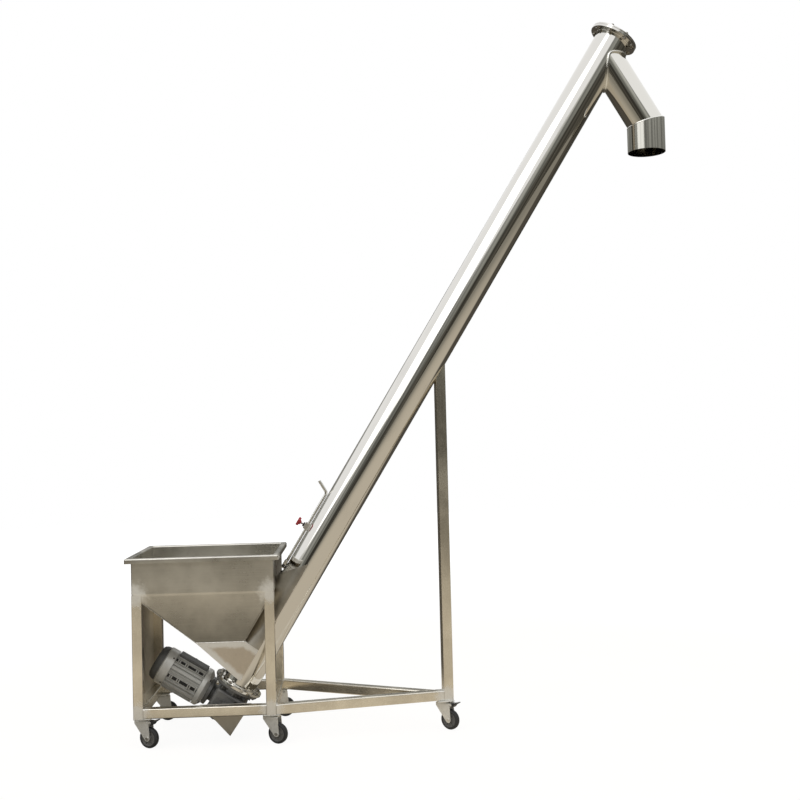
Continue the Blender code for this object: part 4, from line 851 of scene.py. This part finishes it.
knob = {"radius": 0.019, "low": 0.119, "high": 0.130, "lobes": 5, "tip": 0.0902, "stem": 0.004}
points = []
for i in range(80):
    turn = math.tau * i / 80
    reach = knob["radius"] * (0.90 + 0.10 * math.cos(knob["lobes"] * turn))
    points.append((reach * math.cos(turn), reach * math.sin(turn), knob["low"]))
bm = pulled(points, (0, 0, knob["high"] - knob["low"]), 0.0028, 4)
joined(bm, turned([(0.0, knob["high"] - 0.0012), (0.0085, knob["high"] - 0.0012), (0.0070, knob["high"] - 0.0002),
                   (0.0, knob["high"] - 0.0002)], 32))
neck = [(0.0, 0.1125), (0.0078, 0.1125), (0.0088, 0.116), (0.0120, 0.1195), (0.0, 0.1195)]
joined(bm, turned(neck, 32, False, 0.0006))
joined(bm, turned([(0.0, knob["tip"])] + [(knob["stem"] - (0.0005 if i % 2 else 0.0), knob["tip"] + 0.0008 * i)
                                          for i in range(1, 29)] + [(0.0, knob["tip"] + 0.0232)], 20), material=1)
finishPiece("knob_grip", bm, "knob", [redPlastic, boltSteel],
            tubePlace @ shift(0, 0, guide["place"]) @ spun(-quarter, "Y"),
            ("lock_knob",))
print("gate parts made")


# auger screw
auger = {"shaft": 0.021, "bore": 0.017, "low": 0.020, "high": 3.115, "flight": 0.0685, "thick": 0.003,
         "start": 0.035, "end": 3.091, "pitch": 0.140, "stepsPerTurn": 40}
bm = turned([(auger["bore"], auger["low"]), (auger["shaft"], auger["low"]), (auger["shaft"], auger["high"]),
             (auger["bore"], auger["high"])], 40, True)
turns = (auger["end"] - auger["start"]) / auger["pitch"]
steps = round(turns * auger["stepsPerTurn"])
flight = bmesh.new()
section = [(0.0195, 0.0), (auger["flight"], 0.0), (auger["flight"], auger["thick"]), (0.0195, auger["thick"])]
verts = [flight.verts.new((r, 0.0, auger["start"] + z)) for r, z in section]
face = flight.faces.new(verts)
made = bmesh.ops.spin(flight, geom=[face], cent=(0, 0, 0), axis=(0, 0, 1),
                      dvec=(0, 0, (auger["end"] - auger["start"]) / steps), angle=math.tau * turns, steps=steps)
bmesh.ops.recalc_face_normals(flight, faces=flight.faces)
joined(bm, flight)
finishPiece("auger_flight", bm, "auger", [augerSteel], tubePlace, ("auger_screw",))
print("auger made")


# casters
caster = {"plate": 0.070, "plateTop": 0.1197, "plateThick": 0.003, "plateCorner": 0.006,
          "race": [(0.0, 0.1172), (0.0245, 0.1172), (0.0250, 0.1150), (0.0235, 0.1122), (0.0205, 0.1108),
                   (0.0, 0.1108)],
          "screwOut": 0.026, "screw": (0.0048, 0.0040, 0.0066), "forkTop": 0.1101, "forkRadius": 0.033,
          "inside": 0.0145, "outside": 0.0175, "sheet": 0.003, "trail": 0.026, "axleHeight": 0.0415,
          "axleRadius": 0.0040, "axleEnd": 0.0180, "width": 0.024, "ribs": 6, "pinOut": 0.0057, "pinDrop": 0.0055,
          "lug": 0.0045, "gripBars": 4, "gripStart": 0.0135, "gripStep": 0.0045, "treadSlope": 0.25}


def makePlate(name, centre, turn):
    half, out = caster["plate"] / 2, caster["screwOut"]
    top, low = caster["plateTop"], caster["plateTop"] - caster["plateThick"]
    bm = block((-half, -half, low), (half, half, top))
    uprightEdges = [edge for edge in bm.edges if abs(edge.verts[0].co.z - edge.verts[1].co.z) > 0.001]
    bevelled(bm, uprightEdges, caster["plateCorner"], 4)
    softened(bm, 0.0005, 1, 60.0)
    joined(bm, turned(caster["race"], 48, False, 0.0004))
    for x in (-out, out):
        for y in (-out, out):
            joined(bm, hexBolt(shift(x, y, low) @ flipped, *caster["screw"]), material=1)
    finishPiece(name + "_base", bm, "machine", [zincPlate, boltSteel], shift(centre.x, centre.y, 0.0) @ spun(turn),
                (name + "_plate",))


def pedalPin():
    return Vector((caster["forkRadius"] + caster["pinOut"], 0.0, caster["forkTop"] - caster["pinDrop"]))


def makeFork(name, place, braked):
    top, r = caster["forkTop"], caster["forkRadius"]
    t, h = caster["trail"], caster["axleHeight"]
    cheek = [(-r, top), (-r, top - 0.012), (t - 0.0115, h - 0.0045), (t - 0.0080, h - 0.0090),
             (t - 0.0030, h - 0.0112), (t + 0.0030, h - 0.0112), (t + 0.0080, h - 0.0085), (t + 0.0112, h - 0.002),
             (t + 0.0105, h + 0.020), (r, top - 0.010), (r, top)]
    half, gap = caster["outside"], caster["inside"]
    bm = pulled([(x, -half, z) for x, z in cheek], (0, 2 * half, 0))
    shoulder = [edge for edge in bm.edges if min(v.co.z for v in edge.verts) > top - 1e-5
                and abs(edge.verts[0].co.y - edge.verts[1].co.y) < 1e-6 and abs(abs(edge.verts[0].co.y) - half) < 1e-6]
    bevelled(bm, shoulder, 0.0045, 4)
    bm = cutBy(bm, block((-r - 0.02, -gap, -0.01), (r + 0.05, gap, top - caster["sheet"])))
    softened(bm, 0.0006, 1, 50.0, 0.004)
    if braked:  # lugs and the pin that the pedal turns on
        pin, lug = pedalPin(), caster["lug"]
        for side in (-1, 1):
            low, high = sorted((side * gap, side * half))
            joined(bm, block((r - 0.004, low, pin.z - lug), (pin.x + lug, high, top - 0.001), 0.0006))
        joined(bm, moved(rod(0.0020, -half - 0.001, half + 0.001, 16, 0.0003),
                         shift(*pin) @ spun(quarter, "X")), material=1)
    joined(bm, turned([(0.0, top - 0.0038), (0.0075, top - 0.0038), (0.0075, top - 0.0066), (0.0, top - 0.0066)], 24),
           material=1)
    finishPiece(name + "_cheeks", bm, name + "_swivel", [zincPlate, boltSteel], place, (name + "_fork",))
    bm = rod(caster["axleRadius"], -caster["axleEnd"], caster["axleEnd"], 24)
    joined(bm, rod(0.0070, 0.0178, 0.0205, 6, 0.0005))
    joined(bm, turned([(0.0, -0.0178), (0.0068, -0.0178), (0.0066, -0.0195), (0.0040, -0.0205), (0.0, -0.0205)], 32))
    finishPiece(name + "_axle_bolt", bm, name + "_swivel", [boltSteel], place @ shift(t, 0, h) @ spun(quarter, "X"),
                (name + "_axle",))


def makeWheel(name, place):
    side = caster["width"] / 2
    tyre = [(0.0305, side - 0.0016), (0.0325, side - 0.0004), (0.0362, side - 0.0010), (0.0393, side - 0.0030),
            (0.0410, side - 0.0060), (0.0415, side - 0.0095)]
    disc = [(0.0043, side), (0.0110, side), (0.0118, side - 0.0010), (0.0125, side - 0.0045), (0.0150, side - 0.0062),
            (0.0262, side - 0.0056), (0.0292, side - 0.0022), (0.0310, side - 0.0018)]
    bm = turned(tyre + [(r, -z) for r, z in reversed(tyre)], 72, True)
    joined(bm, turned(disc + [(r, -z) for r, z in reversed(disc)], 72, True), material=1)
    for spin in turnsRound(caster["ribs"]):  # short ribs in the dished disc
        for face in (-1, 1):
            low, high = sorted((face * (side - 0.0075), face * (side - 0.0030)))
            joined(bm, moved(block((0.0115, -0.0011, low), (0.0288, 0.0011, high), 0.0004), spin), material=1)
    finishPiece(name + "_tyre", bm, name + "_roller", [tyreRubber, wheelDisc],
                place @ shift(caster["trail"], 0, caster["axleHeight"]) @ spun(quarter, "X"),
                (name + "_wheel",))


def makePedal(name, place):
    pin = pedalPin()
    reach = caster["inside"] - 0.0004
    outline = [(-0.0043, -0.002), (-0.0043, 0.002), (-0.002, 0.0043), (0.010, 0.0063), (0.030, 0.0113),
               (0.0318, 0.0086), (0.016, -0.0004), (0.008, -0.0103), (0.001, -0.0103), (-0.002, -0.0043)]
    bm = pulled([(pin.x + x, -reach, pin.z + z) for x, z in outline], (0, 2 * reach, 0), 0.0008, 2)
    for i in range(caster["gripBars"]):
        x = caster["gripStart"] + caster["gripStep"] * i
        z = 0.0064 + (x - 0.010) * caster["treadSlope"]
        joined(bm, moved(block((-0.0010, -reach * 0.8, -0.0004), (0.0010, reach * 0.8, 0.0007), 0.0003),
                         shift(pin.x + x, 0, pin.z + z) @ spun(-0.245, "Y")), material=1)
    finishPiece(name + "_lever", bm, name + "_brake", [blackPlastic, zincPlate], place, (name + "_pedal",))


def boxMiddle(node):
    low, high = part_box(node)
    return (low + high) / 2


for name in ("front_left_caster", "rear_left_caster", "front_right_caster", "rear_right_caster", "leg_caster"):
    plateCentre = boxMiddle(name + "_plate")
    trailWay = boxMiddle(name + "_wheel") - plateCentre
    place = shift(plateCentre.x, plateCentre.y, 0.0) @ spun(math.atan2(trailWay.y, trailWay.x))
    braked = name + "_brake" in joints
    makePlate(name, plateCentre, math.radians(11.31) if name == "leg_caster" else 0.0)
    makeFork(name, place, braked)
    makeWheel(name, place)
    if braked:
        makePedal(name, place)
print("casters made")


# worm gearbox
gearbox = {"half": 0.066, "low": -0.158, "high": -0.036, "edge": 0.012, "ribs": 5, "ribLow": -0.146,
           "ribStep": 0.0245, "ribReach": 0.0695, "ribHalf": 0.050, "ribThick": 0.0018, "lidLow": -0.1600,
           "lidCircle": 0.043, "lidBolts": 6, "lidBolt": (0.0050, 0.0042, 0.0064),
           "flange": [(0.0, -0.0420), (0.052, -0.0420), (0.052, -0.0163), (0.095, -0.0123), (0.095, -0.0003),
                      (0.0, -0.0003)],
           "flangeCircle": 0.0860, "flangeBolts": 8, "flangeBolt": (0.0062, 0.0052, 0.0078), "webTurn": 0.39,
           "barrel": [(0.0, -0.0700), (0.036, -0.0700), (0.036, 0.080), (0.060, 0.084), (0.060, 0.0997), (0.0, 0.0997)],
           "capLow": -0.0740, "capCircle": 0.022, "capBolts": 4, "capBolt": (0.0040, 0.0036, 0.0054)}
half = gearbox["half"]
bm = block((-half, -half, gearbox["low"]), (half, half, gearbox["high"]), gearbox["edge"], 4)
reach, side, thick = gearbox["ribReach"], gearbox["ribHalf"], gearbox["ribThick"]
for i in range(gearbox["ribs"]):  # cooling ribs on the sides and the front
    z = gearbox["ribLow"] + i * gearbox["ribStep"]
    joined(bm, block((-reach, -side, z - thick), (reach, side, z + thick), 0.0008))
    joined(bm, block((-side, -reach, z - thick), (side, reach, z + thick), 0.0008))
low = gearbox["lidLow"]
joined(bm, turned([(0.0225, low), (0.052, low), (0.052, -0.155), (0.0225, -0.155)], 64, True, 0.0008))
for spin in turnsRound(gearbox["lidBolts"]):
    joined(bm, hexBolt(spin @ shift(gearbox["lidCircle"], 0, low) @ flipped, *gearbox["lidBolt"]), material=1)
joined(bm, turned(gearbox["flange"], 72, False, 0.0012))
for spin in turnsRound(gearbox["flangeBolts"], 0.5):  # bolts and webs under the output flange
    joined(bm, hexBolt(spin @ shift(gearbox["flangeCircle"], 0, -0.0128) @ flipped, *gearbox["flangeBolt"]), material=1)
    web = block((0.050, -0.0025, -0.0345), (0.075, 0.0025, -0.0140), 0.0008)
    joined(bm, moved(web, spin @ spun(gearbox["webTurn"])))
joined(bm, block((-0.020, -0.1144, -0.127), (0.030, -0.056, -0.067), 0.003, 2))
barrel = turned(gearbox["barrel"], 64, False, 0.0012)
low = gearbox["capLow"]
joined(barrel, turned([(0.0, low), (0.029, low), (0.029, -0.0690), (0.0, -0.0690)], 48, False, 0.0008))
for spin in turnsRound(gearbox["capBolts"], 0.5):
    joined(barrel, hexBolt(spin @ shift(gearbox["capCircle"], 0, low) @ flipped, *gearbox["capBolt"]), material=1)
joined(bm, moved(barrel, tubePlace.inverted() @ motorPlace))
plug = rod(0.0085, 0.0, 0.007, 6, 0.0006)
joined(plug, rod(0.0105, -0.002, 0.0016, 24, 0.0003))
joined(bm, moved(plug, shift(0.030, -0.0655, -0.060) @ spun(quarter, "X")), material=1)
finishPiece("gear_case", bm, "machine", [gearPaint, darkSteel], tubePlace, ("gearbox_housing",))
print("gearbox made")


# motor: front bell, finned body, fan cowl and terminal box
motor = {"bell": [(0.0103, 0.100), (0.062, 0.100), (0.0755, 0.111), (0.0805, 0.116), (0.0805, 0.1347),
                  (0.0557, 0.1347), (0.0557, 0.139), (0.0497, 0.139), (0.0497, 0.116), (0.0103, 0.112)],
         "lugs": 4, "lugLow": 0.1085, "tieCircle": 0.0705, "tieBolt": (0.0048, 0.0042, 0.0062),
         "low": 0.135, "high": 0.2747, "shield": 0.0095, "bore": 0.0445, "core": 0.0705, "fin": 0.081, "fins": 36,
         "finHalf": 0.0013, "grooves": (262, 318), "grooveReach": 4.9, "padReach": 26, "boxReach": 30,
         "bridges": (0.1395, 0.1655, 0.1745, 0.2160, 0.2250, 0.2510, 0.2590), "feet": (290, 236)}
bell = turned(motor["bell"], 72, True, 0.0010)
for spin in turnsRound(motor["lugs"], 0.5):  # lugs with the long tie bolts
    low = motor["lugLow"]
    joined(bell, moved(block((0.064, -0.010, low), (0.0790, 0.010, 0.1335), 0.003, 3), spin))
    joined(bell, hexBolt(spin @ shift(motor["tieCircle"], 0, low) @ flipped, *motor["tieBolt"]), material=1)
finishPiece("motor_bell", bell, "machine", [motorBand, darkSteel], motorPlace, ("motor_front_bell",))

low, high, core = motor["low"], motor["high"], motor["core"]
shield = high - motor["shield"]
body = turned([(motor["bore"], 0.147), (0.056, 0.147), (0.056, low), (core, low), (core, high),
               (motor["bore"], shield)], 96, True, 0.0)
joined(body, turned([(0.0083, shield), (0.050, shield), (0.050, high), (0.0083, high)], 48, True))
gaps = [math.radians(angle) for angle in motor["grooves"]]  # two wide grooves on the near side


def isNear(angle, middle, reach):
    return abs(math.remainder(angle - middle, math.tau)) < math.radians(reach)


for i in range(motor["fins"]):
    angle = math.tau * i / motor["fins"]
    if isNear(angle, 0.0, motor["padReach"]) or isNear(angle, quarter, motor["boxReach"]) \
            or any(isNear(angle, gap, motor["grooveReach"]) for gap in gaps):
        continue
    thin = motor["finHalf"]
    fin = block((core - 0.002, -thin, low + 0.0015), (motor["fin"], thin, high - 0.0015), 0.0007, 2)
    joined(body, moved(fin, spun(angle)))
# a black strip along each groove floor paints the shade in the slots between the bridges
for gap in gaps:  # bridges break each groove into slots
    joined(body, moved(block((0.0695, -0.0078, low + 0.002), (0.0718, 0.0078, high - 0.002)), spun(gap)), material=1)
    for z in motor["bridges"]:
        joined(body, moved(block((0.0700, -0.0085, z), (0.0800, 0.0085, z + 0.0050), 0.0008), spun(gap)))
# flat pad up the top, raised box seat on the far side, and the foot bars
joined(body, block((0.060, -0.034, low + 0.004), (0.0795, 0.034, high - 0.004), 0.0025, 3), material=2)
joined(body, block((-0.047, 0.060, 0.158), (0.047, 0.0805, 0.252), 0.002, 2))
for angle in motor["feet"]:
    joined(body, moved(block((0.068, -0.0065, low + 0.001), (0.0806, 0.0065, high - 0.001), 0.0016, 2),
                       spun(math.radians(angle))))
finishPiece("motor_body", body, "machine", [motorPaint, blackPlastic, motorDark], motorPlace,
            ("motor_frame",))

cowlShape = {"dome": [(0.046, 0.3460), (0.055, 0.3465), (0.066, 0.3405), (0.0725, 0.3290), (0.0745, 0.3150),
                      (0.0728, 0.3150), (0.0705, 0.3285), (0.0645, 0.3385), (0.0545, 0.3440), (0.046, 0.3435)],
             "skirt": [(0.0790, 0.275), (0.0790, 0.3110), (0.0740, 0.3158), (0.0725, 0.3140), (0.0765, 0.3100),
                       (0.0765, 0.275)],
             "hoops": 5, "hoopStart": 0.0085, "hoopStep": 0.0090, "spokes": 8, "screws": 4}
cowl = turned(cowlShape["dome"], 72, True, 0.0003)
joined(cowl, turned(cowlShape["skirt"], 72, True, 0.0004), material=1)
for i in range(cowlShape["hoops"]):  # wire guard over the fan
    radius = cowlShape["hoopStart"] + i * cowlShape["hoopStep"]
    joined(cowl, swept(ringPath(radius, 0.3447, 48), 0.0013, True, 0.0, 1), material=2)
for spin in turnsRound(cowlShape["spokes"]):
    joined(cowl, moved(rod(0.0012, 0.0060, 0.0485, 8), spin @ shift(0, 0, 0.3440) @ spun(quarter, "Y")), material=2)
for spin in turnsRound(cowlShape["screws"], 0.5):
    joined(cowl, moved(rod(0.0035, 0.0, 0.0022, 16, 0.0005), spin @ shift(0.0786, 0, 0.2840) @ spun(quarter, "Y")),
           material=2)
finishPiece("fan_cowl", cowl, "machine", [motorDark, motorBand, darkSteel], motorPlace, ("fan_cover",))

terminal = {"half": 0.045, "low": 0.160, "high": 0.250, "seat": 0.0813, "split": 0.1100, "top": 0.1225,
            "screwX": 0.036, "screwZ": (0.169, 0.241),
            "gland": [(0.0, -0.004), (0.0098, -0.004), (0.0098, 0.005), (0.0080, 0.006), (0.0080, 0.0155),
                      (0.0050, 0.0168), (0.0038, 0.0168), (0.0038, 0.006), (0.0, 0.006)]}
half, low, high = terminal["half"], terminal["low"], terminal["high"]
box = block((-half, terminal["seat"], low), (half, terminal["split"], high), 0.0035, 3)
joined(box, block((-half, terminal["split"] + 0.0005, low), (half, terminal["top"], high), 0.0030, 3))
joined(box, block((-0.0435, 0.1085, low + 0.0015), (0.0435, 0.1120, high - 0.0015)), material=1)
for x in (-terminal["screwX"], terminal["screwX"]):
    for z in terminal["screwZ"]:
        joined(box, moved(rod(0.0040, 0.0, 0.0010, 20, 0.0003), shift(x, 0.1223, z) @ spun(-quarter, "X")), material=2)
joined(box, moved(turned(terminal["gland"], 6, False, 0.0004), shift(half, 0.1023, 0.205) @ spun(quarter, "Y")),
       material=1)
finishPiece("terminal_case", box, "machine", [motorPaint, blackPlastic, boltSteel], motorPlace,
            ("terminal_box",))
print("motor made")


# CAD nodes that stay, in better finishes
gateSteel = polishedSteel("gateSteel", (0.62, 0.60, 0.56), 0.12, tubePlace, 0.5)
shaftSteel = polishedSteel("shaftSteel", (0.60, 0.60, 0.60), 0.16, tubePlace, 0.1)
kept = {"lower_stub": shaftSteel, "upper_stub": shaftSteel, "worm_wheel": bronzeGear, "motor_shaft": shaftSteel,
        "motor_fan": blackPlastic, "top_bearing": motorPaint, "lower_seal": sealRubber, "gate_plate": gateSteel}
for name, material in kept.items():
    for slot in nodes[name].material_slots:
        slot.material = material


# camera, floor and light
camera = bpy.data.objects.new("camera", bpy.data.cameras.new("camera"))
bpy.context.scene.collection.objects.link(camera)
turnMatrix = (spun(math.radians(-2.2021)) @ spun(math.radians(91.7285), "X")
              @ spun(math.radians(-1.4305)))
camera.matrix_world = shift(*shopPoint(0.924504, -4.3942, 1.2189)) @ turnMatrix
camera.data.sensor_width = 36.0
camera.data.lens = 48.90
camera.data.clip_end = 200.0
bpy.context.scene.camera = camera


def stageObject(name, bm, material):
    mesh = bpy.data.meshes.new(name)
    bm.to_mesh(mesh)
    bm.free()
    mesh.materials.append(material)
    mesh.shade_smooth()
    made = bpy.data.objects.new(name, mesh)
    bpy.context.scene.collection.objects.link(made)
    return made


studio = {"floorRadius": 12.0, "floorColour": (0.72, 0.655, 0.545), "floorShine": (0.60, 0.535, 0.43),
          "floorFar": (0.27, 0.25, 0.205), "floorPaintedShadow": (0.10, 0.09, 0.07),
          "floorBehind": (0.085, 0.075, 0.06), "cardRadius": 40.0, "keyPower": 85.0, "fillPower": 30.0, "ambient": 0.50}

# pale floor: white to the camera with a soft shadow, warm in the steel, where a painted shadow darkens it under the
# machine
floorPaint, place = startMaterial("floorPaint")
isCamera, isGlossy, isThrough = rayKinds(place)
distance = place.node("ShaderNodeVectorMath", {"operation": "LENGTH"}, {0: place}, 1)
grit = cloud(place, 3.0, 4.0)
warm = blended(rise(distance, 2.0, 9.0), studio["floorShine"], studio["floorFar"])
across = place.node("ShaderNodeSeparateXYZ", None, {0: place}, "X")
deep = place.node("ShaderNodeSeparateXYZ", None, {0: place}, "Y")
# painted shadow: the floor seen in the steel goes dark under the machine, standing in for the machine's shadow
paintedShadowMask = rise(across, -0.35, -0.60) * rise(deep.maths("ABSOLUTE", deep), 0.85, 0.35)
warm = blended(rise(deep, 0.2, 1.1), warm, studio["floorBehind"])
warm = blended(paintedShadowMask, warm, studio["floorPaintedShadow"])
glow = blended(isCamera, warm, (1.16, 1.16, 1.16))
speckled = blended(rise(grit, 0.3, 0.7), studio["floorColour"], [c * 0.93 for c in studio["floorColour"]])
lit = place.node("ShaderNodeBsdfDiffuse", None, {"Color": speckled})
shine = place.node("ShaderNodeEmission", None, {"Color": glow})
share = isCamera * (rise(distance, 2.0, 6.0) * 0.20 + 0.80) + (isGlossy + isThrough)
mixed = place.node("ShaderNodeMixShader", None, {0: share, 1: lit, 2: shine})
place.node("ShaderNodeOutputMaterial", None, {"Surface": mixed})
bm = bmesh.new()
bmesh.ops.create_circle(bm, cap_ends=True, segments=96, radius=studio["floorRadius"])
stageObject("floor", bm, floorPaint)

# a far grey card round the studio draws the dark edges in the polished steel
cardPaint, place = startMaterial("cardPaint")
parts = place.node("ShaderNodeSeparateXYZ", None, {0: place}, 2)
height = place.node("ShaderNodeMapRange", None, {"Value": parts, "From Min": -8.0, "From Max": 17.0})
shade = height.node("ShaderNodeValToRGB", {"stops": [(0.0, (0.075, 0.068, 0.052)), (0.46, (0.075, 0.070, 0.058)),
                                                     (0.54, (0.20, 0.20, 0.175)), (0.80, (0.34, 0.34, 0.31)),
                                                     (0.97, (0.52, 0.52, 0.49)), (1.0, (0.9, 0.9, 0.88))]}, {0: height})
around = place.node("ShaderNodeMapping", None, {"Vector": place, "Scale": (0.11, 0.11, 0.0)})
bands = rise(cloud(around, 1.0, 1.0, 0.4), 0.40, 0.60)
bandTone = blended(bands, (0.55, 0.55, 0.55), (1.25, 1.25, 1.25))
shade = place.node("ShaderNodeMix", {"data_type": "RGBA", "blend_type": "MULTIPLY"}, {0: 1.0, 6: shade, 7: bandTone}, 2)
glowing = place.node("ShaderNodeEmission", None, {"Color": shade})
place.node("ShaderNodeOutputMaterial", None, {"Surface": glowing})
bm = bmesh.new()
bmesh.ops.create_cone(bm, cap_ends=False, segments=96, radius1=studio["cardRadius"], radius2=studio["cardRadius"],
                      depth=25.0, matrix=shift(0, 0, 4.5))
card = stageObject("horizonCard", bm, cardPaint)
card.visible_camera = False
card.visible_diffuse = False
card.visible_shadow = False

world = bpy.data.worlds.new("studioWorld")
bpy.context.scene.world = world
world.use_nodes = True
world.node_tree.nodes.clear()
sky = Wire(world.node_tree)
isCamera, isGlossy, isThrough = rayKinds(sky)
plain = sky.node("ShaderNodeBackground", None, {"Color": (1.0, 0.99, 0.97, 1.0), "Strength": studio["ambient"]})
white = sky.node("ShaderNodeBackground", None, {"Color": (1.0, 1.0, 1.0, 1.0), "Strength": 1.0})
seen = isCamera.maths("MINIMUM", isCamera + isGlossy + isThrough, 1.0)
mixed = sky.node("ShaderNodeMixShader", None, {0: seen, 1: plain, 2: white})
sky.node("ShaderNodeOutputWorld", None, {"Surface": mixed})


def softLamp(name, place, target, size, power):
    lamp = bpy.data.objects.new(name, bpy.data.lights.new(name, "AREA"))
    lamp.data.shape = "SQUARE"
    lamp.data.size = size
    lamp.data.energy = power
    bpy.context.scene.collection.objects.link(lamp)
    lamp.location = place
    lamp.rotation_euler = (Vector(target) - Vector(place)).to_track_quat("-Z", "Y").to_euler()
    return lamp


softLamp("keyLamp", (-3.2, -3.6, 5.2), (0.0, 0.0, 1.2), 5.0, studio["keyPower"])
fillLamp = softLamp("fillLamp", (4.2, -3.0, 3.6), (0.0, 0.0, 1.0), 4.0, studio["fillPower"])
fillLamp.visible_glossy = False
bpy.context.scene.view_settings.view_transform = "Standard"
print("stage made")
